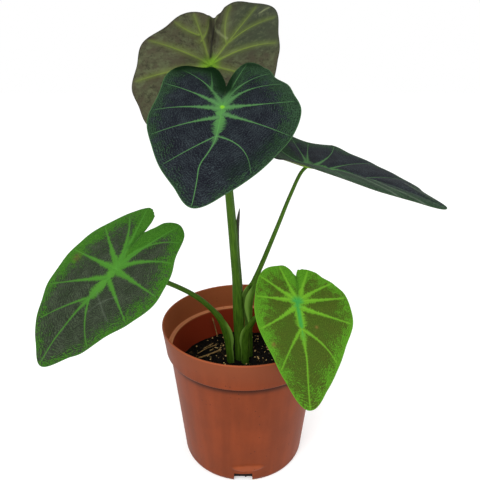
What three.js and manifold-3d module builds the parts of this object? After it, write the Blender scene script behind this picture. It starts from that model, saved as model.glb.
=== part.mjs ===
// A young elephant ear in a thin moulded nursery pot. Millimetres, +Z up, origin on the surface that the
// pot stands on, under the pot's centre. -Y is the side that the lowest leaf leans over.
import * as THREE from "three";
import { mergeVertices } from "three/addons/utils/BufferGeometryUtils.js";
import Module from "manifold-3d";

const wasm = await Module();
wasm.setup();

// Pot
const POT_HEIGHT = 118;
const RIM_RADIUS = 65;
const BAND_HEIGHT = 21;
const BODY_TOP_RADIUS = 59.6;
const BODY_FOOT_RADIUS = 50.2;
const WALL = 1.2;
const LEDGE_RISE = 1;
const LEDGE_ROUNDING = 0.9;
const RIM_WALL = 1.5;
const RIM_ROUNDING = 1.4;
const FOOT_RADIUS = 47.6;
const FOOT_WALL = 1.4;
const FOOT_ROUNDING = 5;
const FLOOR_ROUNDING = 1;
const CHANNEL_HEIGHT = 4.6;
const PAD_RADIUS = 25;
const PAD_SLOPE = 2;
const NOTCH_WIDTH = 14.6;
const NOTCH_HEIGHT = 4.4;
const NOTCH_COUNT = 3;
const DRAIN_COUNT = 6;
const DRAIN_RADIUS = 3.2;
const DRAIN_CIRCLE = 36;
const DRAIN_SIDES = 12;
const POT_SIDES = 48;

// Soil
const SOIL_LEVEL = 73;
const SOIL_MOUND = 2.5;
const MOUND_TOP_RADIUS = 6;
const MOUND_FOOT_RADIUS = 46;
const SOIL_RELIEF = 0.45;
const SOIL_SIDES = 36;
const SOIL_RING_SHARES = [1, 0.9, 0.79, 0.68, 0.57, 0.46, 0.35, 0.24, 0.12];
const CRUMB_COUNT = 60;
const CRUMB_SMALLEST = 1.1;
const CRUMB_LARGEST = 2.4;
const CRUMB_SHAPE = [1.25, 0.9, 0.75];
const CRUMB_RAISE = 0.1;
const CRUMB_CLEARANCE = 17;
const CRUMB_EDGE = 4;
const FIT = 0.35;
const HOLE_LENGTH = 60;
const HOLE_DEPTH = 2;
const HOLE_SIDES = 14;

// Corm, and the level where the stalks stand on it
const CORM_CENTRE = [-2, 8, 47];
const CORM_RADIUS = 15;
const CORM_TOP = 60;
const CORM_TOP_RADIUS = 12;
const CORM_DEPTH = 24;
const CORM_SIDES = 18;
const CORM_STEPS = 6;
const SEAT_GAP = 0.3;

// Blades
const BLADE_THICKNESS = 0.8;
const MARGIN_ANGLES = [15, 30, 60, 90, 120, 150, 168];
const SPOKE_ANGLES = [6, 12, 20, 30, 42, 54, 66, 78, 90, 102, 114, 126, 138, 150, 160, 168, 174];
const RING_SHARES = [0.12, 0.3, 0.5, 0.68, 0.85, 1];
const MIDRIB_ROUNDING = 3;
const MARGIN_CURL = 1.5;
const CURL_REACH = 50;

const COLOURS = {
  pot: 0x9a5138,
  soil: 0x1d1713,
  corm: 0x6b4a2e,
  stalk: 0x3c6a1c,
  darkBlade: 0x26352c,
  backBlade: 0x4b4a33,
  greenBlade: 0x3f7a28,
  brightBlade: 0x4f8a20,
  newLeaf: 0x35342c,
};

// Each leaf: where its stalk meets the blade, which way the tip points (heading 0 is -Y, 90 is +X), how far
// the tip dips, the roll about the midrib, the fold of the two halves at the stalk and at the tip, how much
// the tip and the lobes droop, the sideways sweep of the tip, and the reach of the margin from the stalk in
// millimetres: to the tip, to the notch between the lobes, and at the MARGIN_ANGLES on either side.
const LEAVES = [
  {
    name: "back",
    colour: COLOURS.backBlade,
    attach: [-25, 30, 311],
    heading: 192,
    pitch: 52,
    roll: 10,
    fold: 6,
    foldAtTip: 0,
    tipDroop: 22,
    lobeDroop: 12,
    sweep: 0,
    wave: 1.2,
    tip: 98,
    notch: 38,
    left: [84, 71, 62, 56, 56, 54, 50],
    right: [84, 72, 62, 53, 51, 48, 45],
  },
  {
    name: "front",
    colour: COLOURS.darkBlade,
    attach: [-14, -25, 286],
    heading: -8,
    pitch: 38,
    roll: 4,
    fold: 6,
    foldAtTip: 0,
    tipDroop: 18,
    lobeDroop: 14,
    sweep: 8,
    wave: 1,
    tip: 73,
    notch: 16,
    left: [63, 57, 50, 43, 46, 46, 39],
    right: [65, 59, 52, 50, 46, 47, 46],
  },
  {
    name: "right",
    colour: COLOURS.darkBlade,
    attach: [46, 0, 243],
    heading: 64,
    pitch: 3,
    roll: 5,
    fold: 14,
    foldAtTip: -2,
    tipDroop: 16,
    lobeDroop: -10,
    sweep: 0,
    wave: 1,
    tip: 97,
    notch: 25,
    left: [80, 67, 60, 55, 56, 54, 40],
    right: [81, 67, 61, 56, 55, 54, 41],
  },
  {
    name: "left",
    colour: COLOURS.greenBlade,
    attach: [-91, -25, 174],
    heading: -46,
    pitch: 42,
    roll: 6,
    fold: 6,
    foldAtTip: 0,
    tipDroop: 14,
    lobeDroop: 10,
    sweep: 16,
    wave: 1,
    tip: 87,
    notch: 31,
    left: [78, 69, 59, 46, 44, 49, 53],
    right: [70, 58, 51, 51, 50, 55, 46],
  },
  {
    name: "low",
    colour: COLOURS.brightBlade,
    attach: [37, -47, 158],
    heading: 0,
    pitch: 45,
    roll: 12,
    fold: 8,
    foldAtTip: 0,
    tipDroop: 16,
    lobeDroop: 10,
    sweep: -8,
    wave: 0.7,
    tip: 70,
    notch: 19,
    left: [54, 42, 34, 31, 32, 29, 24],
    right: [59, 50, 40, 36, 29, 26, 25],
  },
];

// Each stalk: the leaf that it carries, its route up from the corm, its radius at the foot of its sheath,
// above the sheath and at the blade, the heights where the sheath starts to close and has closed, the radius
// of its channel, half the angle of its opening, how far its margins stand out as wings, and the side that it
// opens to.
const STALKS = [
  {
    leaf: "back",
    radii: [2.2, 2.1, 1.5],
    sheath: null,
    opens: [0, 1],
    route: [
      [-3, 9.2, 60.3],
      [-2.8, 9.6, 90],
      [-2.4, 10.6, 115],
      [-2.4, 12.2, 142],
      [-4.2, 14.6, 172],
      [-9.9, 19, 220],
      [-13.9, 23, 250],
      [-18.8, 27, 282],
    ],
  },
  {
    leaf: "front",
    radii: [4.1, 3.2, 1.8],
    sheath: { closing: 122, closed: 146, inner: 2.9, opening: 50, wing: 0 },
    opens: [0.5, 0.85],
    route: [
      [-3, 9, 60.3],
      [-3.4, 8.6, 85],
      [-4.2, 7.6, 110],
      [-5.6, 5.4, 146],
      [-8.3, 0.5, 186],
      [-11.2, -8, 227],
      [-13, -15.5, 256],
    ],
  },
  {
    leaf: "right",
    radii: [3.4, 2.1, 1.5],
    sheath: { closing: 132, closed: 143, inner: 2.4, opening: 55, wing: 1.4 },
    opens: [-0.85, -0.53],
    route: [
      [4.8, 13.6, 60.3],
      [4.4, 13, 85],
      [3.9, 12, 108],
      [4.6, 10.5, 130],
      [8.3, 9, 146],
      [16.2, 6, 171],
      [25.3, 3.4, 197],
      [33.7, 1.5, 221],
      [41, 0.4, 237],
    ],
  },
  {
    leaf: "left",
    radii: [3.6, 2.1, 1.7],
    sheath: { closing: 104, closed: 119, inner: 2.7, opening: 60, wing: 1.6 },
    opens: [0.9, 0.3],
    route: [
      [-10.2, 5.2, 60.3],
      [-10.6, 5, 80],
      [-12.4, 4.2, 96],
      [-17.3, 2.5, 114],
      [-28.3, -1, 130.5],
      [-39.7, -6, 143],
      [-57, -13, 156],
      [-74, -19, 165.5],
    ],
  },
  {
    leaf: "low",
    radii: [3.2, 2, 1.5],
    sheath: { closing: 101, closed: 118, inner: 2.3, opening: 60, wing: 2 },
    opens: [-0.6, 0.7],
    route: [
      [2.6, 2.2, 60.3],
      [1.2, 1.8, 85],
      [2.2, 0.8, 103],
      [8.7, -8, 122.7],
      [17, -18.5, 134.3],
      [26.3, -31, 146],
    ],
  },
];
const STALK_STEPS = 18;
const OUTER_POINTS = 9;
const INNER_POINTS = 5;
const ROUND_POINTS = 10;
const SHEATH_TAPER = 12;
const WING_FOOT = 88;
const WING_RISE = 5;
const TAPER_START = 0.35;
const STALK_OVERRUN = 4;
const TRIM_SIDE = 30;
const TRIM_HEIGHT = 16;

// The rolled new leaf beside the back stalk
const NEW_LEAF_ROUTE = [
  [-1.4, 16, 60.3],
  [-1.1, 15.8, 100],
  [-1.3, 16.6, 142],
  [-2.9, 18.2, 172],
  [-3.9, 18.5, 190],
  [-3.4, 18.4, 206.5],
];
const NEW_LEAF_RADII = [1.8, 1.7, 0.4];
const NEW_LEAF_STEPS = 12;

// Two dry straws: one lies on the soil, one leans towards the wall
const STRAWS = [
  [
    [-39, 10.5, 73.9],
    [-29, 15.5, 74.7],
    [-19, 22, 75.4],
  ],
  [
    [-24, 47.5, 72],
    [-26, 47.5, 82],
    [-28.5, 46.8, 93],
  ],
];
const STRAW_RADIUS = 0.8;
const STRAW_SIDES = 6;
const STRAW_STEPS = 6;

const degrees = THREE.MathUtils.degToRad;

// Repeatable random numbers
function seeded(seed) {
  let state = seed;
  return () => {
    state = (state * 1664525 + 1013904223) % 4294967296;
    return state / 4294967296;
  };
}

function smooth(from, to, x) {
  return THREE.MathUtils.smoothstep(x, from, to);
}

// Geometry to solid and back
function toSolid(geometry) {
  const bare = new THREE.BufferGeometry();
  bare.setAttribute("position", geometry.getAttribute("position"));
  if (geometry.index) bare.setIndex(geometry.index);
  const merged = mergeVertices(bare, 1e-3);
  return new wasm.Manifold(
    new wasm.Mesh({
      numProp: 3,
      vertProperties: new Float32Array(merged.attributes.position.array),
      triVerts: new Uint32Array(merged.index.array),
    }),
  );
}

function toGeometry(solid) {
  const mesh = solid.getMesh();
  const geometry = new THREE.BufferGeometry();
  geometry.setAttribute("position", new THREE.BufferAttribute(mesh.vertProperties, 3));
  geometry.setIndex(new THREE.BufferAttribute(mesh.triVerts, 1));
  geometry.computeVertexNormals();
  return geometry;
}

function indexedGeometry(points, triangles) {
  const geometry = new THREE.BufferGeometry();
  geometry.setFromPoints(points);
  geometry.setIndex(triangles);
  geometry.computeVertexNormals();
  return geometry;
}

function named(name, geometry, colour, roughness) {
  const material = new THREE.MeshStandardMaterial({ color: colour, roughness, metalness: 0 });
  const mesh = new THREE.Mesh(geometry, material);
  mesh.name = name;
  return mesh;
}

// A closed body through rings of equal point count. The first ring's outline triangulates both ends.
function loft(rings, endOutline) {
  const count = rings[0].length;
  const points = rings.flat();
  const triangles = [];
  for (let i = 0; i + 1 < rings.length; i++) {
    for (let j = 0; j < count; j++) {
      const a = i * count + j;
      const b = i * count + ((j + 1) % count);
      triangles.push(a, b, b + count, a, b + count, a + count);
    }
  }
  const last = (rings.length - 1) * count;
  for (const [a, b, c] of THREE.ShapeUtils.triangulateShape(endOutline[0], [])) triangles.push(a, c, b);
  for (const [a, b, c] of THREE.ShapeUtils.triangulateShape(endOutline[1], [])) {
    triangles.push(last + a, last + b, last + c);
  }
  return indexedGeometry(points, triangles);
}

// Pot: one turned shell with drain holes in its floor channel and notches in its foot
function potSolid() {
  const bandFoot = POT_HEIGHT - BAND_HEIGHT;
  const ledge = bandFoot + LEDGE_RISE;
  const floor = CHANNEL_HEIGHT + WALL;
  const rimMiddle = RIM_RADIUS - RIM_WALL / 2;
  const profile = [
    [0, 0],
    [PAD_RADIUS, 0],
    [PAD_RADIUS + PAD_SLOPE, CHANNEL_HEIGHT],
    [FOOT_RADIUS - FOOT_WALL, CHANNEL_HEIGHT],
    [FOOT_RADIUS - FOOT_WALL, 0],
    [FOOT_RADIUS, 0],
    [FOOT_RADIUS + 0.65 * (BODY_FOOT_RADIUS - FOOT_RADIUS), FOOT_ROUNDING / 3],
    [BODY_FOOT_RADIUS, FOOT_ROUNDING],
    [BODY_TOP_RADIUS, bandFoot - WALL / 2],
    [BODY_TOP_RADIUS + WALL / 3, bandFoot],
    [RIM_RADIUS - RIM_WALL - WALL / 2, bandFoot],
    [RIM_RADIUS - WALL, bandFoot + WALL],
    [RIM_RADIUS, POT_HEIGHT - RIM_ROUNDING],
    [RIM_RADIUS - 0.15 * RIM_WALL, POT_HEIGHT - 0.3 * RIM_ROUNDING],
    [rimMiddle, POT_HEIGHT],
    [RIM_RADIUS - 0.85 * RIM_WALL, POT_HEIGHT - 0.3 * RIM_ROUNDING],
    [RIM_RADIUS - RIM_WALL, POT_HEIGHT - RIM_ROUNDING],
    [RIM_RADIUS - RIM_WALL - LEDGE_ROUNDING, ledge + LEDGE_ROUNDING],
    [BODY_TOP_RADIUS - WALL, ledge],
    [BODY_FOOT_RADIUS - WALL, floor + FLOOR_ROUNDING],
    [BODY_FOOT_RADIUS - WALL - FLOOR_ROUNDING, floor],
    [PAD_RADIUS + PAD_SLOPE / 2, floor],
    [PAD_RADIUS - PAD_SLOPE / 2, WALL],
    [0, WALL],
  ];
  const points = profile.map(([r, z]) => new THREE.Vector2(r, z));
  const shell = new THREE.LatheGeometry(points, POT_SIDES);
  shell.rotateX(Math.PI / 2);
  let solid = toSolid(shell);
  for (let i = 0; i < DRAIN_COUNT; i++) {
    const angle = ((i + 0.5) / DRAIN_COUNT) * 2 * Math.PI;
    const hole = new THREE.CylinderGeometry(DRAIN_RADIUS, DRAIN_RADIUS, 4 * WALL, DRAIN_SIDES);
    hole.rotateX(Math.PI / 2);
    hole.translate(DRAIN_CIRCLE * Math.cos(angle), DRAIN_CIRCLE * Math.sin(angle), CHANNEL_HEIGHT + WALL / 2);
    solid = solid.subtract(toSolid(hole));
  }
  for (let i = 0; i < NOTCH_COUNT; i++) {
    const angle = (i / NOTCH_COUNT) * 2 * Math.PI - Math.PI / 2;
    const notch = new THREE.BoxGeometry(3 * FOOT_ROUNDING, NOTCH_WIDTH, 2 * NOTCH_HEIGHT);
    notch.translate(FOOT_RADIUS + FOOT_WALL, 0, 0);
    notch.rotateZ(angle);
    solid = solid.subtract(toSolid(notch));
  }
  return solid;
}

// Inner radius of the pot's body at a height
function wallRadius(z) {
  const share = (z - FOOT_ROUNDING) / (POT_HEIGHT - BAND_HEIGHT - FOOT_ROUNDING);
  return THREE.MathUtils.lerp(BODY_FOOT_RADIUS, BODY_TOP_RADIUS, share) - WALL;
}

// Height of the soil's surface: a low mound round the stalks with a crumbly relief
function soilHeight(x, y) {
  const radius = Math.hypot(x, y);
  const mound = SOIL_MOUND * (1 - smooth(MOUND_TOP_RADIUS, MOUND_FOOT_RADIUS, radius));
  const relief =
    Math.sin(0.31 * x + 1.1) * Math.cos(0.27 * y - 0.6) +
    0.6 * Math.sin(0.72 * x - 0.55 * y + 2.3) +
    0.5 * Math.cos(0.95 * y + 0.8 * x);
  return SOIL_LEVEL + mound + SOIL_RELIEF * relief;
}

// Soil body: its top is the crumbly surface, its side and foot follow the pot's inside with a small fit
function soilBody() {
  const edge = wallRadius(SOIL_LEVEL) - FIT;
  const floor = CHANNEL_HEIGHT + WALL + FIT;
  const outline = [
    [PAD_RADIUS - PAD_SLOPE / 2 - FIT, WALL + FIT],
    [PAD_RADIUS + PAD_SLOPE / 2, floor],
    [wallRadius(floor) - FIT - FLOOR_ROUNDING, floor],
    [wallRadius(floor) - FIT, floor + FLOOR_ROUNDING],
  ];
  const points = [];
  const ringOf = (radius, height) => {
    for (let j = 0; j < SOIL_SIDES; j++) {
      const angle = (j / SOIL_SIDES) * 2 * Math.PI;
      const x = radius * Math.cos(angle);
      const y = radius * Math.sin(angle);
      points.push(new THREE.Vector3(x, y, height === null ? soilHeight(x, y) : height));
    }
  };
  for (const [radius, z] of outline) ringOf(radius, z);
  for (const share of SOIL_RING_SHARES) ringOf(edge * share, null);
  const rings = outline.length + SOIL_RING_SHARES.length;
  const triangles = [];
  for (let i = 0; i + 1 < rings; i++) {
    for (let j = 0; j < SOIL_SIDES; j++) {
      const a = i * SOIL_SIDES + j;
      const b = i * SOIL_SIDES + ((j + 1) % SOIL_SIDES);
      triangles.push(a, b, b + SOIL_SIDES, a, b + SOIL_SIDES, a + SOIL_SIDES);
    }
  }
  const foot = points.length;
  points.push(new THREE.Vector3(0, 0, WALL + FIT));
  points.push(new THREE.Vector3(0, 0, soilHeight(0, 0)));
  const top = (rings - 1) * SOIL_SIDES;
  for (let j = 0; j < SOIL_SIDES; j++) {
    const next = (j + 1) % SOIL_SIDES;
    triangles.push(foot, next, j);
    triangles.push(foot + 1, top + j, top + next);
  }
  return toSolid(indexedGeometry(points, triangles));
}

// Crumbs of bark, grit and pale grains, sunk into the surface, clear of the stalks
function crumbs() {
  const random = seeded(41);
  const made = [];
  while (made.length < CRUMB_COUNT) {
    const angle = random() * 2 * Math.PI;
    const radius = (wallRadius(SOIL_LEVEL) - CRUMB_EDGE) * Math.sqrt(random());
    const x = radius * Math.cos(angle);
    const y = radius * Math.sin(angle);
    const size = THREE.MathUtils.lerp(CRUMB_SMALLEST, CRUMB_LARGEST, random());
    const turn = random() * Math.PI;
    if (Math.hypot(x - CORM_CENTRE[0], y - CORM_CENTRE[1]) < CRUMB_CLEARANCE) continue;
    const crumb = new THREE.OctahedronGeometry(size, 0);
    crumb.scale(...CRUMB_SHAPE);
    crumb.rotateX(turn);
    crumb.rotateZ(2 * turn);
    crumb.translate(x, y, soilHeight(x, y) + CRUMB_RAISE * size);
    made.push(toSolid(crumb));
  }
  return made;
}

// A straw along its few points
function straw(points) {
  const curve = new THREE.CatmullRomCurve3(points.map((p) => new THREE.Vector3(...p)));
  const section = new THREE.Shape();
  for (let i = 0; i < STRAW_SIDES; i++) {
    const angle = (i / STRAW_SIDES) * 2 * Math.PI;
    const method = i === 0 ? "moveTo" : "lineTo";
    section[method](STRAW_RADIUS * Math.cos(angle), STRAW_RADIUS * Math.sin(angle));
  }
  return toSolid(new THREE.ExtrudeGeometry(section, { steps: STRAW_STEPS, extrudePath: curve }));
}

// Corm: a round tuber with a flat top that the stalks stand on, also used larger as its bed in the soil
function cormSolid(margin) {
  const [x, y, z] = CORM_CENTRE;
  const points = [new THREE.Vector2(0, -CORM_DEPTH / 2 - margin)];
  for (let i = 1; i <= CORM_STEPS; i++) {
    const angle = -Math.PI / 2 + (i / CORM_STEPS) * (Math.PI / 2 + Math.PI / 5);
    const radius = (CORM_RADIUS + margin) * Math.cos(angle);
    points.push(new THREE.Vector2(radius, (CORM_DEPTH / 2 + margin) * Math.sin(angle)));
  }
  points.push(new THREE.Vector2(CORM_TOP_RADIUS + margin, CORM_TOP + margin - z));
  points.push(new THREE.Vector2(0, CORM_TOP + margin - z));
  const body = new THREE.LatheGeometry(points, CORM_SIDES);
  body.rotateX(Math.PI / 2);
  body.translate(x, y, z);
  return toSolid(body);
}

function curveOf(points) {
  return new THREE.CatmullRomCurve3(
    points.map((p) => new THREE.Vector3(...p)),
    false,
    "centripetal",
  );
}

function onCircle(radius, angle) {
  return new THREE.Vector2(radius * Math.cos(angle), radius * Math.sin(angle));
}

// Cross-section of a stalk: a round, whose one side opens to a channel in its sheath while open is 1, with the
// two margins of the opening drawn out by the wing
function stalkOutline(radius, sheath, open, wing) {
  const outline = [];
  if (!sheath) {
    for (let i = 0; i < ROUND_POINTS; i++) outline.push(onCircle(radius, (i / ROUND_POINTS) * 2 * Math.PI));
    return outline;
  }
  const gap = degrees(sheath.opening);
  const inner = Math.min(sheath.inner, radius - BLADE_THICKNESS);
  for (let i = 0; i < OUTER_POINTS; i++) {
    const angle = gap + (i / (OUTER_POINTS - 1)) * 2 * (Math.PI - gap);
    outline.push(onCircle(radius, angle));
  }
  for (let i = 0; i < INNER_POINTS; i++) {
    const share = i / (INNER_POINTS - 1);
    const channel = onCircle(inner, -gap - share * 2 * (Math.PI - gap));
    const closed = onCircle(radius, 0.8 * gap * (2 * share - 1));
    outline.push(closed.lerp(channel, open));
  }
  for (const margin of [0, OUTER_POINTS - 1, OUTER_POINTS, OUTER_POINTS + INNER_POINTS - 1]) {
    outline[margin].x += wing;
  }
  return outline;
}

// Stalk: its cross-section carried along its curve, thick at the sheath and thin at the blade
function stalkGeometry(curve, steps, radii, sheath, opens) {
  const rings = [];
  const outlines = [];
  const side = new THREE.Vector3(opens[0], opens[1], 0).normalize();
  for (let i = 0; i <= steps; i++) {
    const share = i / steps;
    const centre = curve.getPointAt(share);
    const tangent = curve.getTangentAt(share);
    const open = sheath ? 1 - smooth(sheath.closing, sheath.closed, centre.z) : 0;
    const closed = sheath ? sheath.closed + SHEATH_TAPER : 0;
    const above = sheath ? smooth(sheath.closing, closed, centre.z) : smooth(0, 0.5, share);
    const lower = THREE.MathUtils.lerp(radii[0], radii[1], above);
    const radius = THREE.MathUtils.lerp(lower, radii[2], smooth(TAPER_START, 1, share));
    const across = side.clone().addScaledVector(tangent, -side.dot(tangent)).normalize();
    const along = new THREE.Vector3().crossVectors(tangent, across);
    const wing = sheath ? sheath.wing * open * smooth(WING_FOOT, sheath.closing - WING_RISE, centre.z) : 0;
    const outline = stalkOutline(radius, sheath, open, wing);
    outlines.push(outline);
    rings.push(
      outline.map((p) => centre.clone().addScaledVector(across, p.x).addScaledVector(along, p.y)),
    );
  }
  return loft(rings, [outlines[0], outlines[steps]]);
}

// The plain hole in the soil that a stalk stands in
function stalkHole(route, radius) {
  const foot = new THREE.Vector3(...route[0]);
  const direction = new THREE.Vector3(...route[1]).sub(foot).normalize();
  const middle = foot.addScaledVector(direction, HOLE_LENGTH / 2 - HOLE_DEPTH);
  const hole = new THREE.CylinderGeometry(radius, radius, HOLE_LENGTH, HOLE_SIDES);
  const up = new THREE.Vector3(0, 1, 0);
  hole.applyQuaternion(new THREE.Quaternion().setFromUnitVectors(up, direction));
  hole.translate(middle.x, middle.y, middle.z);
  return toSolid(hole);
}

// A leaf's own frame: X across to its left half, Y along the midrib to the tip, Z out of its upper face
function leafFrame(leaf) {
  const heading = degrees(leaf.heading);
  const pitch = degrees(leaf.pitch);
  const roll = degrees(leaf.roll);
  const tip = new THREE.Vector3(
    Math.sin(heading) * Math.cos(pitch),
    -Math.cos(heading) * Math.cos(pitch),
    -Math.sin(pitch),
  );
  const level = new THREE.Vector3(-Math.cos(heading), -Math.sin(heading), 0);
  const upper = new THREE.Vector3().crossVectors(level, tip);
  const across = level.clone().multiplyScalar(Math.cos(roll)).addScaledVector(upper, Math.sin(roll));
  const out = upper.multiplyScalar(Math.cos(roll)).addScaledVector(level, -Math.sin(roll));
  return new THREE.Matrix4().makeBasis(across, tip, out).setPosition(...leaf.attach);
}

// Reach of the margin at an angle from the tip direction, positive on the left half: a smooth line through
// the reaches of that half, level at the tip and running straight into the notch
function marginReach(leaf, angle) {
  const half = angle >= 0 ? leaf.left : leaf.right;
  const knots = [0, ...MARGIN_ANGLES, 180];
  const reaches = [leaf.tip, ...half, leaf.notch];
  const at = Math.abs(angle);
  let i = 0;
  while (i < knots.length - 2 && at > knots[i + 1]) i++;
  const slope = (k) => {
    if (k === 0) return 0;
    if (k === knots.length - 1) return (reaches[k] - reaches[k - 1]) / (knots[k] - knots[k - 1]);
    return (reaches[k + 1] - reaches[k - 1]) / (knots[k + 1] - knots[k - 1]);
  };
  const span = knots[i + 1] - knots[i];
  const t = (at - knots[i]) / span;
  const t2 = t * t;
  const t3 = t2 * t;
  return (
    (2 * t3 - 3 * t2 + 1) * reaches[i] +
    (t3 - 2 * t2 + t) * span * slope(i) +
    (3 * t2 - 2 * t3) * reaches[i + 1] +
    (t3 - t2) * span * slope(i + 1)
  );
}

// A point of the blade's middle surface, at a share of the way out along a spoke
function bladePoint(leaf, share, angle) {
  const reach = share * marginReach(leaf, angle);
  const theta = degrees(angle);
  const along = reach * Math.cos(theta);
  const forward = Math.max(along / leaf.tip, 0);
  const across = reach * Math.sin(theta) + leaf.sweep * forward * forward;
  const fold = degrees(THREE.MathUtils.lerp(leaf.fold, leaf.foldAtTip, Math.min(forward, 1)));
  const beside = Math.sqrt(across * across + MIDRIB_ROUNDING * MIDRIB_ROUNDING) - MIDRIB_ROUNDING;
  const ripple = leaf.wave * share ** 3 * Math.sin(5 * theta + leaf.tip);
  const height = beside * Math.tan(fold) - MARGIN_CURL * (across / CURL_REACH) ** 2 + ripple;
  const bend = along > 0 ? degrees(leaf.tipDroop) / leaf.tip : degrees(leaf.lobeDroop) / CURL_REACH;
  const turn = bend * along;
  return new THREE.Vector3(
    across,
    Math.sin(turn) / bend + height * Math.sin(turn),
    -(1 - Math.cos(turn)) / bend + height * Math.cos(turn),
  );
}

// Unit normal of the middle surface, from neighbouring points
function bladeNormal(leaf, share, angle) {
  const step = 0.02;
  const inner = bladePoint(leaf, share * (1 - step), angle);
  const outer = bladePoint(leaf, share * (1 + step), angle);
  const before = bladePoint(leaf, share, Math.max(angle - 1, -180));
  const after = bladePoint(leaf, share, Math.min(angle + 1, 180));
  const normal = new THREE.Vector3().crossVectors(after.sub(before), outer.sub(inner));
  return normal.normalize();
}

// Blade: spokes from the stalk to the margin, the same triangles on both faces, and a rim between them
function bladeGeometry(leaf) {
  const angles = [0, ...SPOKE_ANGLES, 180, ...SPOKE_ANGLES.map((a) => -a).reverse()];
  const spokes = angles.length;
  const half = BLADE_THICKNESS / 2;
  const upper = [new THREE.Vector3(0, 0, half)];
  const lower = [new THREE.Vector3(0, 0, -half)];
  for (const share of RING_SHARES) {
    for (const angle of angles) {
      const point = bladePoint(leaf, share, angle);
      const normal = bladeNormal(leaf, share, angle);
      upper.push(point.clone().addScaledVector(normal, half));
      lower.push(point.clone().addScaledVector(normal, -half));
    }
  }
  const triangles = [];
  const faces = (a, b, c) => {
    triangles.push(a, c, b);
    triangles.push(a + upper.length, b + upper.length, c + upper.length);
  };
  for (let j = 0; j < spokes; j++) {
    const next = (j + 1) % spokes;
    faces(0, 1 + j, 1 + next);
    for (let i = 0; i + 1 < RING_SHARES.length; i++) {
      const a = 1 + i * spokes + j;
      const b = 1 + i * spokes + next;
      faces(a, a + spokes, b + spokes);
      faces(a, b + spokes, b);
    }
    const a = 1 + (RING_SHARES.length - 1) * spokes + j;
    const b = 1 + (RING_SHARES.length - 1) * spokes + next;
    triangles.push(a, b, b + upper.length);
    triangles.push(a, b + upper.length, a + upper.length);
  }
  return indexedGeometry([...upper, ...lower], triangles);
}

// Everything above the blade's underside near the stalk, which trims the stalk's end
function endTrim(leaf) {
  const trim = new THREE.BoxGeometry(TRIM_SIDE, TRIM_SIDE, TRIM_HEIGHT);
  trim.translate(0, 0, TRIM_HEIGHT / 2 - BLADE_THICKNESS / 2 - SEAT_GAP);
  trim.applyMatrix4(leafFrame(leaf));
  return toSolid(trim);
}

// Assembly
const group = new THREE.Group();

group.add(named("pot", toGeometry(potSolid()), COLOURS.pot, 0.45));

let soil = soilBody();
for (const crumb of crumbs()) soil = soil.add(crumb);
for (const points of STRAWS) soil = soil.add(straw(points));
soil = soil.subtract(cormSolid(FIT));
for (const stalk of STALKS) soil = soil.subtract(stalkHole(stalk.route, stalk.radii[0] + FIT));
soil = soil.subtract(stalkHole(NEW_LEAF_ROUTE, NEW_LEAF_RADII[0] + FIT));
group.add(named("soil", toGeometry(soil), COLOURS.soil, 0.95));

const plant = new THREE.Group();
plant.add(named("corm", toGeometry(cormSolid(0)), COLOURS.corm, 0.8));
for (const leaf of LEAVES) {
  const blade = named("blade_" + leaf.name, bladeGeometry(leaf), leaf.colour, 0.5);
  leafFrame(leaf).decompose(blade.position, blade.quaternion, blade.scale);
  plant.add(blade);
}
for (const stalk of STALKS) {
  const leaf = LEAVES.find((one) => one.name === stalk.leaf);
  const before = new THREE.Vector3(...stalk.route[stalk.route.length - 1]);
  const attach = new THREE.Vector3(...leaf.attach);
  const beyond = attach.clone().addScaledVector(attach.clone().sub(before).normalize(), STALK_OVERRUN);
  const curve = curveOf([...stalk.route, leaf.attach, beyond.toArray()]);
  const grown = toSolid(stalkGeometry(curve, STALK_STEPS, stalk.radii, stalk.sheath, stalk.opens));
  plant.add(named("stalk_" + leaf.name, toGeometry(grown.subtract(endTrim(leaf))), COLOURS.stalk, 0.4));
}
const newLeaf = stalkGeometry(curveOf(NEW_LEAF_ROUTE), NEW_LEAF_STEPS, NEW_LEAF_RADII, null, [0, 1]);
plant.add(named("new_leaf", newLeaf, COLOURS.newLeaf, 0.4));
group.add(plant);

export default group;
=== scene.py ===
"""A young elephant ear in a thin moulded nursery pot: its finished pieces and their surfaces.

The packed model is the fixed frame. Blender works in metres, and a grown piece is drawn in millimetres
and brought to metres when its mesh is made. +Z is up and -Y is the side of the lowest leaf.
"""
import math

import bpy
import numpy as np
from bpy.props import FloatProperty, FloatVectorProperty, IntProperty, PointerProperty
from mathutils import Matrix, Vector


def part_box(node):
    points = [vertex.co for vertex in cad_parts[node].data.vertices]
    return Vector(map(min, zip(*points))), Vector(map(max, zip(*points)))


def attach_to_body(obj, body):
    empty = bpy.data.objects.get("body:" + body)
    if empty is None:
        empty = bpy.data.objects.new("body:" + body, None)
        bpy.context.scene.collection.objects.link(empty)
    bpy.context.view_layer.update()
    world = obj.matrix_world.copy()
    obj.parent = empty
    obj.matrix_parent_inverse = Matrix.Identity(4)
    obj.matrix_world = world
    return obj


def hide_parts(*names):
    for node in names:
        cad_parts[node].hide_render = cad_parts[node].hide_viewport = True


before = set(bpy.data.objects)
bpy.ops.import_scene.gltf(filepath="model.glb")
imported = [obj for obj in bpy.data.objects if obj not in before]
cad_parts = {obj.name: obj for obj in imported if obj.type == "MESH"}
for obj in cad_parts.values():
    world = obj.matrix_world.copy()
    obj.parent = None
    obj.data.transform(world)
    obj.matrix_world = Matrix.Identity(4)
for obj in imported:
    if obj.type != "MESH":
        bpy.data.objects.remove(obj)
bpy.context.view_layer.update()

bl_info = {
    "name": "Potted elephant ear",
    "version": (1, 0, 0),
    "blender": (4, 5, 0),
    "location": "View3D > Sidebar > Plant",
    "description": "Grows a dark-leaved elephant ear in its nursery pot around the packed model",
    "category": "Add Mesh",
}

MM = 0.001
BODY = "root"
WELD = 2e-6
POT_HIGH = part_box("pot")[1]

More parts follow.
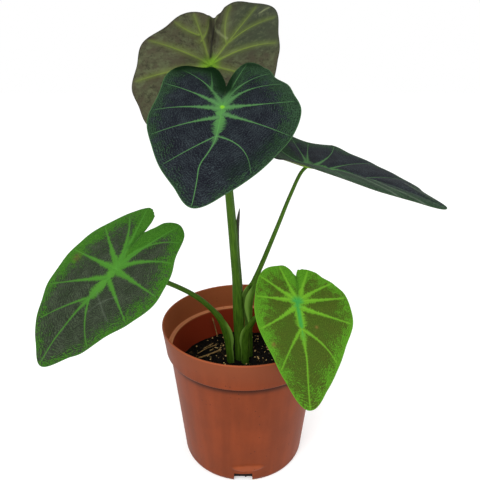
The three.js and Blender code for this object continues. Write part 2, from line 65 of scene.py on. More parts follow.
# Details of the moulded pot, in metres: its walls and corners, the close rings where the lens is raised,
# and the drain holes. The foot has three notches, each with a slot into the pot, a raised lens over it
# and a rib under the floor, which stand a little to its side. A cutter has how far its middle lies past
# the foot or the body, its depth, its height and its rounding.
RIM_WALL = 0.0015
FOOT_WALL = 0.0014
FOOT_RISE = 0.005
FLOOR_SLOPE = 0.002
CORNER = 0.0012
BAND_CORNER = (0.0014, 0.0018)
LEDGE_TOP_CORNER = 0.0010
LEDGE_CORNER = 0.0006
FLOOR_CORNER = 0.002
CLOSE_RINGS = (0.006, 0.020, 15)
NOTCH_TURNS = [i / 3 * 2 * math.pi - math.pi / 2 for i in range(3)]
SLOT_HEIGHT = 0.0084
NOTCH_CUTTER = (0.0014, 0.015, 0.0044, 0.0007)
SLOT_CUTTER = (0.0026, 0.008, SLOT_HEIGHT, 0.0009)
LENS_TURN = 0.075
LENS_LEVEL = 0.0145
LENS_HALF_WIDTH = 0.0128
LENS_HALF_HEIGHT = 0.0034
RIB_TURN = 0.045
RIB_WALL = 0.0011
DRAIN_CIRCLE = 0.036
DRAIN_RADIUS = 0.0032

# The soil, in millimetres: its level, its gap to the pot, and the place where the stalks stand, which only
# small crumbs lie on. The corm under it has the ring scars of its old leaves.
SOIL_LEVEL = 73
SOIL_GAP = 0.25
STALKS_MIDDLE = (-2, 8)
STALKS_REACH = 14
SMALL_CRUMB = 0.7
PEAT_SPOKES = 180
PEAT_RINGS = 60
SCARS = 5.2

# What lies in the peat: the smallest and the largest size to which its shape is scaled, how high its
# middle lies as a share of that size, and the lowest of its tones, which go up by the spread
MIX = {
    "crumb": (0.45, 1.7, 0.15, 0.15),
    "chip": (0.28, 1.05, 0.35, 0.45),
    "fibre": (0.3, 0.9, 0.35, 0.8),
}
TONE_SPREAD = 0.3

# Each leaf, in millimetres and degrees: where its stalk meets the blade, which way the tip points
# (heading 0 is -Y, 90 is +X), how far the tip dips, the roll about the midrib, the fold of the halves at
# the stalk and at the tip, the droop of tip and lobes, how much higher and flatter the left lobe is, the
# sideways sweep of the tip, the height of the waves, and the reach of the margin: to the tip, to the
# notch, and at the MARGIN_ANGLES on either half. The midrib goes through a few places (to the left,
# towards the tip). A vein is (where it leaves the midrib, the angle where it ends, how far it bows
# towards the lobes), angles positive on the left half. A twig is the place that it leaves another vein
# at, its end angle and its bow. A leaf with pleats has 1. The trim is how far the real margin waves out
# or in, by angle. The zone is the width of the green border, by angle. A spot has its place, its radius
# and its strength. A mark is painted shade (below 0), or a pale streak that is partly painted sheen
# (above 0): its strength, its half width and its places.
MARGIN_ANGLES = (15, 30, 60, 90, 120, 150, 168)
LEAVES = [
    dict(
        name="back", attach=(-25, 30, 311), heading=192, pitch=52, roll=10, fold=6, fold_at_tip=0,
        tip_droop=22, lobe_droop=12, lobe_lift=0, lobe_flatter=0, sweep=0, wave=1.2, tip=98,
        notch=38, left=(84, 71, 62, 56, 56, 54, 50), right=(84, 72, 62, 53, 51, 48, 45),
        trim=(
            (-173, -2), (-152, 0.5), (-135, -2), (-113, 0.8), (-93, -0.8), (-75, 2), (-60, -0.5), (-46, 1.6),
            (-20, 0), (60, 0), (82, -1.1), (93, -0.2), (107, -1.4), (131, 2.4), (155, 0), (173, 2), (180, 0),
        ),
        midrib=((0, 0), (1, 40), (0, 96)),
        veins=(
            (55, 15, 1), (30, 31, 1), (1, 62, 1), (0, 100, 4), (0, 148, -1),
            (55, -15, 1), (30, -31, 1), (1, -80, 1.8), (0, -119, 1.5), (0, -161, 0.5),
        ),
        twigs=(((11, -15), 170, 2), ((12.7, -17), 125, 3), ((-10, -26), -145, -1), ((-8, -21), -174, 1)),
        zone=((-180, 14), (-90, 6), (0, 3), (90, 6), (180, 14)), pleat=1, spots=(),
        marks=(
            (0.4, 0.8, ((0.9, -40), (-0.4, -33.5), (1.1, -29.2), (5.4, -24.9), (10.7, -20.3))),
            (0.6, 0.7, ((32.4, -37), (38.2, -41))),
            (0.06, 5, ((7.6, -38), (10.6, -31), (8.3, -26))),
            (-0.8, 1.6, ((-2.9, -37), (-0.1, -25), (-0.4, -16), (-0.2, -6.5))),
            (-0.3, 5, ((-15.6, -5), (-4.7, -6))),
        ),
    ),
    dict(
        name="front", attach=(-14, -25, 286), heading=-8, pitch=38, roll=4, fold=6, fold_at_tip=0,
        tip_droop=18, lobe_droop=14, lobe_lift=0, lobe_flatter=0, sweep=8, wave=1, tip=73, notch=16,
        left=(63, 57, 50, 43, 46, 46, 39), right=(65, 59, 52, 50, 46, 47, 46),
        trim=(
            (-180, 2), (-173, 3), (-160, 1), (-148, 1), (-134, -2.2), (-119, -0.3), (-103, -2), (-85, -0.1),
            (-66, -0.2), (-47, -1.6), (-20, -0.4), (0, 0), (25, -0.3), (47, -1.9), (77, 0.6), (104, -1.2),
            (138, 2.5), (156, -1.8), (164, 0.6), (172, -1.6),
        ),
        midrib=((0, 0), (-0.4, 28), (2.3, 38), (5.4, 45.5), (3.7, 54.5), (1.5, 71.5)),
        veins=(
            (24, 29, 0.5), (9, 54.5, 1.5), (2, 79, 1.8), (0, 110, 2), (0, 135, 4.5),
            (24, -29, 5.5), (6, -65, 0.5), (1, -96, 0.3), (0, -123, 5.6), (0, -143, 5), (0, -167, 0.5),
        ),
        twigs=(((9, -14), 160, 0.8),),
        zone=(
            (-180, 15), (-150, 12), (-115, 11), (-90, 12), (-60, 7), (-30, 4), (0, 1.5),
            (30, 3.5), (60, 5), (95, 6), (120, 8), (150, 11), (180, 15),
        ),
        pleat=0, spots=(),
        marks=(
            (-1.15, 6.5, ((35.6, -34), (28, -39), (17.7, -40), (9, -37), (4.2, -28), (1.2, -18))),
            (-0.6, 3, ((-0.4, -18), (-1.7, -31), (-3.7, -42.7), (-10.5, -46), (-20, -44))),
            (-0.35, 5, ((-16, 50), (-28, 38), (-38, 25))),
        ),
    ),
    dict(
        name="right", attach=(46, 0, 243), heading=64, pitch=2, roll=5, fold=13, fold_at_tip=-3,
        tip_droop=18, lobe_droop=-42, lobe_lift=10, lobe_flatter=3, sweep=2.5, wave=0.5, tip=97,
        notch=25, left=(80, 67, 60, 55, 56, 54, 40), right=(81, 67, 61, 56, 55, 54, 41),
        trim=(
            (-150, 0), (-132, -1), (-112, -3), (-90, -1.6), (-70, -8), (-50, -4), (-34, 1.8), (-22, 3.4),
            (-11, -3), (-3, 0.8), (16, -1), (32, 2), (50, 1), (66, 2), (80, -3), (105, -11), (135, -17),
            (160, -10),
        ),
        midrib=((0, 0), (0.5, 45), (0, 95)),
        veins=(
            (45, 15, -1), (17, 50, 1), (3, 87, -3), (0, 113, 0), (0, 133, -3), (0, 160, 0),
            (42, -25, 1), (15, -50, 1), (3, -87, -3.5), (0, -113, 0), (0, -131, -3), (0, -160, 0),
        ),
        twigs=(),
        zone=(
            (-180, 22), (-150, 16), (-120, 11), (-90, 10), (-60, 5), (0, 6), (20, 40), (140, 45),
            (180, 22),
        ),
        pleat=0, spots=(),
        marks=(
            (-0.6, 10, ((36, -24), (46, -8), (48, 4))),
            (0.3, 0.9, ((2, 18), (14, 36), (22, 54), (25, 68))),
            (0.3, 0.8, ((1, 44), (9, 60), (14, 76), (14, 86))),
            (-0.5, 3, ((16, 22), (26, 40), (30, 52))),
            (0.25, 0.8, ((-6, 88), (-11, 76), (-17, 66))),
        ),
    ),
    dict(
        name="left", attach=(-91, -25, 174), heading=-46, pitch=42, roll=6, fold=6, fold_at_tip=0,
        tip_droop=14, lobe_droop=10, lobe_lift=0, lobe_flatter=0, sweep=16, wave=1, tip=87,
        notch=31, left=(78, 69, 59, 46, 44, 49, 53), right=(70, 58, 51, 51, 50, 55, 46),
        trim=(
            (-180, 0), (-176.4, -1.4), (-172.3, -2.6), (-168, 0.2), (-150, -0.3), (-136, 1), (-119, 0.7),
            (-104, 2.2), (-92, 1.3), (-80, 1.8),
            (-57, 0.6), (-39, -0.5), (-22, 1.9), (-8, -1.6), (3, 0.9), (10, 0.5), (30, 2.5), (42, 1),
            (54, 2.3), (65, 1), (79, 2), (95, 0.4), (125, -0.1), (150, 0), (162, -1.6), (167.4, -0.8),
            (171, 1.2), (174, 4.8), (176.6, 8.6), (178.6, 8),
        ),
        midrib=((0, 0), (2.5, 20), (6.5, 43), (6.5, 68), (3, 85.5)),
        veins=(
            (28, 28, 1.4), (9.5, 53, 0), (2, 84, 0), (0, 121, 0), (0, 148, 3.5), (0, 164, 1),
            (29, -23, -3), (10, -55, 0), (2, -85, 0), (0, -114, 2.8), (0, -153, 0.5),
        ),
        twigs=(((-3, -11), -134, 5),),
        zone=(
            (-180, 40), (-160, 24), (-145, 13), (-130, 10), (-114, 12), (-85, 9), (-55, 7), (-20, 4),
            (0, 1.5), (25, 4), (50, 9), (70, 14), (100, 12), (125, 13), (148, 11), (160, 12), (170, 26),
            (180, 40),
        ),
        pleat=0, spots=((40, 9, 3.4, 0.3),),
        marks=(
            (0.12, 0.5, ((-4, 37), (-7.5, 29.4), (-12.8, 23), (-18.3, 18))),
            (0.12, 0.5, ((-27, 34.4), (-17.3, 31), (-5.2, 25.3), (0.8, 22.8))),
            (-0.35, 2.2, ((1.2, -31), (1.1, -24), (3, -17))),
        ),
    ),
    dict(
        name="low", attach=(37, -47, 158), heading=0, pitch=45, roll=12, fold=8, fold_at_tip=0,
        tip_droop=16, lobe_droop=10, lobe_lift=0, lobe_flatter=0, sweep=-8, wave=0.7, tip=70,
        notch=19, left=(54, 42, 34, 31, 32, 29, 24), right=(59, 50, 40, 36, 29, 26, 25),
        trim=(
            (-180, 0.2), (-178, 2.6), (-176.8, 3.4), (-171.5, 1.1), (-165, 0), (-152, 0), (-135, -1.4),
            (-117, 0.2), (-104, 1), (-88, 0.1), (-69, 1.5),
            (-45, -1.1), (-20, -0.3), (2, 0.5), (15, -0.2), (41, -0.8), (75, 0.2), (111, -1), (132, 0.3),
            (150, -0.5), (163, 1), (170, 0.6), (175, -0.3),
        ),
        midrib=((0, 0), (-2, 19), (-3.5, 38), (-0.7, 68.5)),
        veins=(
            (18, 18, 0.5), (2, 53, -1), (-1, 92, 0), (0, 121, 0), (0, 153, 0),
            (19, -31, 2.5), (3.5, -69, 0), (0, -97, 0), (0, -120, 1), (0, -160, 0),
        ),
        twigs=(),
        zone=(
            (-180, 16), (-150, 7), (-110, 4), (-70, 6), (-35, 6), (0, 4),
            (20, 5), (50, 8), (90, 8), (120, 7), (150, 9), (180, 16),
        ),
        pleat=0, spots=((-12, 17, 1, 0.8), (19, 30, 1.4, 0.7)),
        marks=((-0.4, 1.3, ((-0.2, -19), (-0.5, -12), (-0.5, -5))),),
    ),
]

# Every blade: the roundness of its folds, how far its margin curls down at a reach and stands past its own
# numbers, and the share of the reach where a vein ends. Strengths are at a vein's root and at its end. The
# markings of a vein are shifted along it, so that no two veins look the same.
MIDRIB_ROUNDING = 3
MARGIN_CURL = 1.5
CURL_REACH = 50
MARGIN_FULLER = 0.3
VEIN_END = 0.93
VEIN_STEPS = 12
MIDRIB_STRENGTHS = (1.0, 0.32)
TWIG_STRENGTHS = (0.5, 0.12)
VEIN_SHIFT = 37
FAR = 1e9

# The faces of every blade: the thick place over the stalk, how far in the margin is thin, how far from a
# vein the swell is full, the height of the pleats, and the span of the rings that the fine lines run on
HUB_RADIUS = 3.0
THIN_MARGIN = 6
SWELL_REACH = 4.5
PLEAT_HEIGHT = 0.8
RING_SPAN = 60

# Each stalk: the leaf that it carries, its route up from the corm, its radius at the foot, above the
# sheath and at the blade, its sheath (None for a plain round stalk) and the side that the sheath opens
# to. The sheath starts to close and has closed at two heights, has a channel of the inner radius, is open
# by an angle to either side, and its margins stand out as wings from the wing's foot up.
STALKS = [
    dict(
        leaf="back", radii=(2.2, 2.1, 1.5), sheath=None, opens=(0, 1),
        route=(
            (-3, 9.2, 60.3), (-2.8, 9.6, 90), (-2.4, 10.6, 115), (-3.4, 12.2, 142), (-5.8, 14.6, 172),
            (-10.2, 19, 220), (-13.2, 23, 250), (-18, 27, 282),
        ),
    ),
    dict(
        leaf="front", radii=(4.1, 3.3, 2.1),
        sheath=dict(closing=122, closed=146, inner=2.9, opening=50, wing=0, wing_foot=88),
        opens=(0.5, 0.85),
        route=(
            (-3, 9, 60.3), (-3.4, 8.6, 85), (-4.2, 7.6, 110), (-5.6, 5.4, 146), (-8.3, 0.5, 186),
            (-11.2, -8, 227), (-13, -15.5, 256),
        ),
    ),
    dict(
        leaf="right", radii=(3.4, 2.1, 1.3),
        sheath=dict(closing=135, closed=147, inner=2.4, opening=55, wing=4.4, wing_foot=108),
        opens=(-0.85, -0.53),
        route=(
            (4.8, 13.6, 60.3), (4.4, 13, 85), (3.9, 12, 108), (4.6, 10.5, 130), (8.3, 9, 146),
            (16.9, 6, 171), (25.9, 3.4, 197), (34.3, 1.5, 221.3), (41.5, 0.4, 238.3),
        ),
    ),
    dict(
        leaf="left", radii=(3.6, 2.1, 1.7),
        sheath=dict(closing=104, closed=119, inner=2.7, opening=60, wing=2.2, wing_foot=88),
        opens=(0.9, 0.3),
        route=(
            (-10.2, 5.2, 60.3), (-10.6, 5, 80), (-12.4, 4.2, 96), (-17.3, 2.5, 114), (-28.3, -1, 130.5),
            (-39.7, -6, 143), (-57, -13, 156), (-74, -19, 165.5),
        ),
    ),
    dict(
        leaf="low", radii=(3.2, 2, 1.5),
        sheath=dict(closing=101, closed=118, inner=2.3, opening=60, wing=2.4, wing_foot=88),
        opens=(-0.6, 0.7),
        route=(
            (2.6, 2.2, 60.3), (1.2, 1.8, 85), (2.2, 0.8, 103), (8.7, -8, 122.7), (17, -18.5, 134.3),
            (26.3, -31, 146),
        ),
    ),
]

# Every stalk: how far above its closed sheath it still narrows, how far below the closing its wings are
# full, the share of its route where it starts to taper to the blade, the sheath's thinnest wall, and the
# length that its streaks are drawn on
SHEATH_TAPER = 12
WING_RISE = 5
TAPER_START = 0.35
SHEATH_WALL = 0.8
BARK_LENGTH = 260

# The rolled new leaf: its route, its radius, and how far from its tip it narrows
NEW_LEAF_ROUTE = (
    (-1.4, 16, 60.3), (-1.1, 15.8, 100), (-2.9, 16.6, 142), (-5.2, 18.4, 172), (-5.2, 18.6, 190),
    (-3.4, 18.4, 205.2),
)
NEW_LEAF_STEPS = 120
NEW_LEAF_RADIUS = 2.1
NEW_LEAF_POINT = 8

# Dry straws, each with its radius: the first has a knot near its end, and the second leans to the wall
STRAWS = [
    (0.75, ((-39, 10.5, 73.9), (-29, 15.5, 74.7), (-19, 22, 75.4))),
    (0.5, ((-24, 47.5, 72), (-26, 47.5, 82), (-28.5, 46.8, 93))),
    (0.4, ((-40, 16.3, 74.6), (-33, 22.8, 75.4), (-24, 30.2, 75))),
    (0.35, ((-35, 24, 75), (-31, 27.2, 75.6), (-27, 32.3, 75.2))),
]
STRAW_STEPS = 24
KNOT_STEP = 22.5


# Sizes and colours that a user would change


def measure(label, text, default):
    """A length, kept in metres."""
    return FloatProperty(name=label, description=text, default=default, unit="LENGTH")


def count(label, text, default, least=0):
    return IntProperty(name=label, description=text, default=default, min=least)


def turning(label, text, degrees):
    return FloatProperty(name=label, description=text, default=math.radians(degrees), subtype="ANGLE")


def light(label, text, power):
    return FloatProperty(name=label, description=text, default=power, unit="POWER")


def shade(label, colour):
    """A colour, as it shows on a screen."""
    return FloatVectorProperty(
        name=label, description="Colour of " + label.lower(), default=colour, subtype="COLOR_GAMMA",
        size=3, min=0, max=1,
    )


class PotSizes(bpy.types.PropertyGroup):
    """Sizes of the moulded pot. Its height and its rim radius are the frame's own."""

    height: measure("Height", "Height of the pot", POT_HIGH.z)
    rim_radius: measure("Rim radius", "Outer radius at the rim", POT_HIGH.x)
    band: measure("Band", "Height of the band below the rim", 0.0228)
    ledge: measure("Ledge", "Height of the ledge inside", 0.0978)
    slim: measure("Slimmer foot", "How much slimmer the band's foot is", 0.0026)
    body_top: measure("Body top", "Outer radius under the band", 0.0594)
    body_foot: measure("Body foot", "Outer radius above the foot", 0.0500)
    foot: measure("Foot", "Outer radius of the foot ring", 0.0476)
    wall: measure("Wall", "Thickness of the wall", 0.0012)
    floor: measure("Floor", "Height of the channel under the floor", 0.0046)
    pad: measure("Pad", "Radius of the flat pad in the floor", 0.025)
    notch: measure("Notch", "Width of a notch in the foot", 0.0146)
    emboss: measure("Emboss", "How far the lens over a notch stands out", 0.0010)
    drains: count("Drains", "Number of drain holes", 6)
    steps: count("Steps", "Steps round the pot", 144, 24)


class SoilSizes(bpy.types.PropertyGroup):
    """Sizes and counts of the peat and what lies in it."""

    mound: measure("Mound", "Rise of the soil round the stalks", 0.0025)
    roughness: measure("Roughness", "Depth of the crumbly relief", 0.0011)
    crumb: count("Crumbs", "Number of peat crumbs", 620)
    chip: count("Chips", "Number of bark chips and grit", 900)
    fibre: count("Fibres", "Number of peat fibres", 150)
    seed: count("Seed", "Seed of the random places", 41)


class LeafSizes(bpy.types.PropertyGroup):
    """Sizes of a blade beyond its outline."""

    thickness: measure("Thickness", "Thickness between the veins", 0.00055)
    rib: measure("Rib", "How far the midrib stands out below", 0.0013)
    groove: measure("Groove", "How deep the midrib lies above", 0.00035)
    swell: measure("Swell", "Swell of the blade between the veins", 0.0007)
    rings: count("Rings", "Steps from stalk to margin", 66, 8)
    spokes: count("Spokes", "Steps round the margin", 300, 32)


class StalkSizes(bpy.types.PropertyGroup):
    """Fineness of the stalks and the new leaf."""

    steps: count("Steps", "Steps along a stalk", 110, 12)
    outer: count("Outer", "Points round a stalk's outside", 33, 9)
    inner: count("Inner", "Points round a sheath's channel", 15, 5)
    twist: turning("Twist", "Turn of the rolled leaf's edge", 250)


class StageSizes(bpy.types.PropertyGroup):
    """Camera, lights and floor."""

    camera: FloatVectorProperty(
        name="Camera", description="Where the camera stands", default=(0, -0.354, 0.318),
        subtype="TRANSLATION", unit="LENGTH",
    )
    dip: turning("Dip", "How far the camera looks down", 20.48)
    turn: turning("Turn", "How far the camera turns to its left", 0.47)
    lens: FloatProperty(
        name="Lens", description="Focal length on a 36 mm sensor, in millimetres", default=37.5
    )
    sky: FloatProperty(name="Sky", description="Strength of the white surroundings", default=1.0)
    glow: FloatProperty(name="Glow", description="Glow of the pale floor, as on a light table", default=0.36)
    key: light("Key", "Power of the soft light at the upper left", 9)
    fill: light("Fill", "Power of the soft light at the right", 2.5)


class PlantColours(bpy.types.PropertyGroup):
    """Colours of every finish."""

    pot: shade("Pot", (0.445, 0.200, 0.095))
    # Painted light: the band is painted paler than the body, and this colour also lights the rim and the
    # lenses
    pot_band_painted_light: shade("Band of the pot", (0.455, 0.232, 0.137))
    # Painted light and shade: the inside is painted paler than the outside, and darker under the ledge
    pot_inside_painted_light: shade("Pot inside", (0.57, 0.31, 0.175))
    pot_low_painted_shade: shade("Pot inside under the ledge", (0.50, 0.17, 0.08))
    # Painted highlight on the upward-facing ledge inside the pot
    pot_ledge_highlight: shade("Ledge inside the pot", (0.80, 0.52, 0.36))
    # Painted shade: nearly black in the slots over the notches
    pot_slot_shade: shade("Dirt in the notches", (0.06, 0.045, 0.04))
    pot_speck: shade("Specks on the pot", (0.22, 0.12, 0.09))
    peat: shade("Peat", (0.036, 0.031, 0.022))
    bark: shade("Bark", (0.22, 0.15, 0.08))
    grit: shade("Grit", (0.90, 0.76, 0.50))
    straw: shade("Straw", (0.62, 0.50, 0.30))
    corm: shade("Corm", (0.38, 0.25, 0.15))
    stalk: shade("Stalk", (0.27, 0.41, 0.08))
    stalk_dark: shade("Dark streaks of the stalk", (0.14, 0.27, 0.04))
    sheath: shade("Sheath margin", (0.46, 0.62, 0.26))
    roll_tip: shade("Tip of the new leaf", (0.20, 0.19, 0.14))
    spot: shade("Spots", (0.42, 0.33, 0.16))
    # Painted shade for marks below 0, and pale streaks that are partly painted sheen for marks above 0
    leaf_shade: shade("Shaded edges of a leaf", (0.03, 0.11, 0.04))
    leaf_pale_streak_and_sheen: shade("Pale streaks of a leaf", (0.52, 0.57, 0.50))
    dark_patch: shade("Dark leaf between the veins", (0.055, 0.060, 0.090))
    dark_lines: shade("Fine lines of the dark leaf", (0.19, 0.225, 0.235))
    dark_border: shade("Border of the dark leaf", (0.07, 0.12, 0.08))
    dark_green: shade("Green of the dark leaf", (0.18, 0.28, 0.19))
    dark_fine_vein: shade("Fine veins of the dark leaf", (0.28, 0.45, 0.26))
    dark_vein: shade("Veins of the dark leaf", (0.29, 0.49, 0.25))
    dark_hub: shade("Stalk end of the dark leaf", (0.45, 0.68, 0.16))
    green_patch: shade("Blotches of the green leaf", (0.12, 0.12, 0.11))
    green_lines: shade("Fine lines of the blotches", (0.27, 0.32, 0.24))
    green_border: shade("Border of the green leaf", (0.14, 0.31, 0.06))
    green_base: shade("Green leaf", (0.24, 0.43, 0.12))
    green_fine_vein: shade("Fine veins of the green leaf", (0.25, 0.47, 0.16))
    green_vein: shade("Veins of the green leaf", (0.27, 0.49, 0.17))
    bright_patch: shade("Olive zones of the bright leaf", (0.20, 0.24, 0.07))
    bright_lines: shade("Fine lines of the olive zones", (0.27, 0.34, 0.09))
    bright_border: shade("Border of the bright leaf", (0.24, 0.42, 0.08))
    bright_base: shade("Bright leaf", (0.31, 0.53, 0.12))
    bright_fine_vein: shade("Fine veins of the bright leaf", (0.38, 0.58, 0.14))
    bright_vein: shade("Veins of the bright leaf", (0.22, 0.53, 0.24))
    under: shade("Underside", (0.29, 0.27, 0.21))
    under_mottle: shade("Mottle of the underside", (0.33, 0.35, 0.25))
    under_cool: shade("Cool lobe of the underside", (0.24, 0.27, 0.20))
    under_vein: shade("Veins of the underside", (0.43, 0.50, 0.22))
    under_hub: shade("Stalk end of the underside", (0.42, 0.60, 0.12))
    pale_under: shade("Underside of the green leaves", (0.34, 0.48, 0.24))
    pale_mottle: shade("Mottle under the green leaves", (0.30, 0.44, 0.20))
    pale_vein: shade("Veins under the green leaves", (0.44, 0.60, 0.30))


# Materials as expressions


def linear(colour):
    """A screen colour as light, with its alpha."""
    light = [c / 12.92 if c <= 0.04045 else ((c + 0.055) / 1.055) ** 2.4 for c in colour]
    return (*light, 1.0)


def tinted(colour, factor):
    """A screen colour made lighter or darker."""
    return [min(1, c * factor) for c in colour]


class Field:
    """A number that varies over a surface. An expression on it adds its Math nodes."""

    def __init__(self, finish, socket):
        self.finish = finish
        self.socket = socket

    def __add__(self, other):
        return self.finish.maths("ADD", self, other)

    def __radd__(self, other):
        return self.finish.maths("ADD", other, self)

    def __sub__(self, other):
        return self.finish.maths("SUBTRACT", self, other)

    def __rsub__(self, other):
        return self.finish.maths("SUBTRACT", other, self)

    def __mul__(self, other):
        return self.finish.maths("MULTIPLY", self, other)

    def __rmul__(self, other):
        return self.finish.maths("MULTIPLY", other, self)

    def __truediv__(self, other):
        return self.finish.maths("DIVIDE", self, other)

    def __pow__(self, other):
        return self.finish.maths("POWER", self, other)

    def __abs__(self):
        return self.finish.maths("ABSOLUTE", self)

    def at_least(self, other):
        return self.finish.maths("MAXIMUM", self, other)

    def rise(self, low, high):
        """0 below low, 1 above high, and smooth between."""
        values = {"Value": self, "From Min": low, "From Max": high}
        return self.finish.node("ShaderNodeMapRange", {"interpolation_type": "SMOOTHSTEP"}, values)

    def fall(self, low, high):
        return 1 - self.rise(low, high)


class Finish:
    """A material under construction, around its one shader."""

    def __init__(self, name, **constants):
        self.material = bpy.data.materials.new(name)
        self.material.use_nodes = True
        self.tree = self.material.node_tree
        self.shader = self.tree.nodes["Principled BSDF"]
        for socket, value in constants.items():
            self.shader.inputs[socket.replace("_", " ")].default_value = value

    def node(self, kind, settings=None, inputs=None, output=0):
        """Any node: its type, its settings, then the values or links of its sockets."""
        made = self.tree.nodes.new(kind)
        for name, value in (settings or {}).items():
            if name == "stops":
                self.set_stops(made.color_ramp, value)
            else:
                setattr(made, name, value)
        for key, value in (inputs or {}).items():
            self.feed(made.inputs[key], value)
        return Field(self, made.outputs[output])

    def set_stops(self, ramp, stops):
        while len(ramp.elements) < len(stops):
            ramp.elements.new(1.0)
        for element, (position, colour) in zip(ramp.elements, stops):
            element.position = position
            element.color = linear(colour)

    def feed(self, socket, value):
        if isinstance(value, Field):
            self.tree.links.new(value.socket, socket)
        else:
            socket.default_value = value

    def set(self, **sockets):
        """Values or links of the shader's own sockets."""
        for name, value in sockets.items():
            self.feed(self.shader.inputs[name.replace("_", " ")], value)
        return self.material

    def maths(self, operation, *values):
        return self.node("ShaderNodeMath", {"operation": operation}, dict(enumerate(values)))

    def attribute(self, name):
        return self.node("ShaderNodeAttribute", {"attribute_name": name}, output=2)

    def place(self, attribute=None):
        """Place on the object, or a place that the mesh keeps as an attribute."""
        if attribute:
            return self.node("ShaderNodeAttribute", {"attribute_name": attribute}, output=1)
        return self.node("ShaderNodeTexCoord", output=3)

    def parts(self, vector):
        apart = self.node("ShaderNodeSeparateXYZ", {}, {0: vector})
        sockets = apart.socket.node.outputs
        return [Field(self, socket) for socket in sockets]

    def joined(self, x, y, z):
        return self.node("ShaderNodeCombineXYZ", {}, {0: x, 1: y, 2: z})

    def scaled(self, vector, factors):
        return self.node("ShaderNodeVectorMath", {"operation": "MULTIPLY"}, {0: vector, 1: factors})

    def noise(self, vector, scale, detail=2.0, roughness=0.5, distortion=0.0):
        values = {
            "Vector": vector,
            "Scale": scale,
            "Detail": detail,
            "Roughness": roughness,
            "Distortion": distortion,
        }
        return self.node("ShaderNodeTexNoise", {}, values)

    def cells(self, vector, scale, feature="F1", output=0):
        values = {"Vector": vector, "Scale": scale}
        return self.node("ShaderNodeTexVoronoi", {"feature": feature}, values, output)

    def mix(self, factor, a, b):
        """Colour a where the factor is 0 and b where it is 1."""
        a, b = (one if isinstance(one, Field) else linear(one) for one in (a, b))
        settings = {"data_type": "RGBA", "clamp_factor": True}
        return self.node("ShaderNodeMix", settings, {0: factor, 6: a, 7: b}, output=2)

    def surface(self, colour, roughness, height, depth):
        """Sets the shader's colour, roughness and relief of a depth, and gives the finished material."""
        relief = self.node("ShaderNodeBump", {}, {"Strength": 1.0, "Distance": depth, "Height": height})
        return self.set(Base_Color=colour, Roughness=roughness, Normal=relief)


# Modelling by hand


def deselect():
    if bpy.context.object and bpy.context.object.mode != "OBJECT":
        bpy.ops.object.mode_set(mode="OBJECT")
    bpy.ops.object.select_all(action="DESELECT")


def select(*pieces):
    """Selects these pieces alone, with the first one active."""
    deselect()
    for piece in pieces:
        piece.select_set(True)
    bpy.context.view_layer.objects.active = pieces[0]


def join(*pieces):
    """Joins the pieces into the first one."""
    select(*pieces)
    bpy.ops.object.join()


def named(name):
    """The piece that was just made, under its name."""
    piece = bpy.context.object
    piece.name = name
    piece.data.name = name
    return piece


def edit(piece):
    """Opens a piece in edit mode with all of it selected."""
    select(piece)
    bpy.ops.object.mode_set(mode="EDIT")
    bpy.ops.mesh.select_all(action="SELECT")


def sheet(name, rows, columns):
    """A grid to be shaped, and each point's share of the rows and of the columns."""
    deselect()
    bpy.ops.mesh.primitive_grid_add(x_subdivisions=rows, y_subdivisions=columns, size=2)
    piece = named(name)
    flat = places(piece)
    return piece, (flat[:, 0] + 1) / 2, (flat[:, 1] + 1) / 2


def places(piece):
    found = np.zeros(len(piece.data.vertices) * 3)
    piece.data.vertices.foreach_get("co", found)
    return found.reshape(-1, 3)


def reshape(piece, points):
    """Moves every point of a piece to its place, in metres."""
    piece.data.vertices.foreach_set("co", np.asarray(points, float).ravel())
    piece.data.update()


def keep(piece, **marks):
    """Keeps numbers or places, one for each point, for the materials."""
    for name, values in marks.items():
        values = np.asarray(values, float)
        kind, field = ("FLOAT", "value") if values.ndim == 1 else ("FLOAT_VECTOR", "vector")
        piece.data.attributes.new(name, kind, "POINT").data.foreach_set(field, values.ravel())


def weld(piece):
    """Merges seams and poles, fills open ends and turns the faces outwards."""
    edit(piece)
    bpy.ops.mesh.remove_doubles(threshold=WELD)
    bpy.ops.mesh.fill_holes(sides=0)
    bpy.ops.mesh.select_all(action="SELECT")
    bpy.ops.mesh.normals_make_consistent(inside=False)
    bpy.ops.object.mode_set(mode="OBJECT")


def apply_modifier(piece, kind, **settings):
    select(piece)
    bpy.ops.object.modifier_add(type=kind)
    modifier = piece.modifiers[-1]
    for name, value in settings.items():
        setattr(modifier, name, value)
    bpy.ops.object.modifier_apply(modifier=modifier.name)


def smooth(piece, angle=180):
    select(piece)
    if angle >= 180:
        bpy.ops.object.shade_smooth()
    else:
        bpy.ops.object.shade_smooth_by_angle(angle=math.radians(angle))


def settle(piece, slot, *nodes):
    """The piece moves with the pot and stands for its nodes. Its slot is not used."""
    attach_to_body(piece, BODY)
    if nodes:
        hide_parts(*nodes)


def dress(piece, *materials):
    """Gives a piece its materials and leaves each face in the slot that it has."""
    slots = piece.data.materials
    while len(slots) < len(materials):
        slots.append(None)
    for number, material in enumerate(materials):
        slots[number] = material


def ease(low, high, x):
    """0 below low, 1 above high, and smooth between."""
    share = np.clip((x - low) / (high - low), 0, 1)
    return share * share * (3 - 2 * share)


def hermite(t, start, end, leaving, arriving):
    """A smooth run from start to end with the slopes that it leaves and arrives with."""
    return (
        (2 * t**3 - 3 * t**2 + 1) * start + (t**3 - 2 * t**2 + t) * leaving
        + (3 * t**2 - 2 * t**3) * end + (t**3 - t**2) * arriving
    )


def round_points(angles):
    """Places on a circle of radius 1."""
    return np.stack([np.cos(angles), np.sin(angles)], axis=1)


def unit(vectors):
    return vectors / np.linalg.norm(vectors, axis=-1, keepdims=True)


def arc(centre, radii, start, end, steps):
    """Points of a round in a half outline, between two angles in degrees."""
    angles = np.radians(np.linspace(start, end, steps + 1))
    return [(centre[0] + radii[0] * math.cos(a), centre[1] + radii[1] * math.sin(a)) for a in angles]


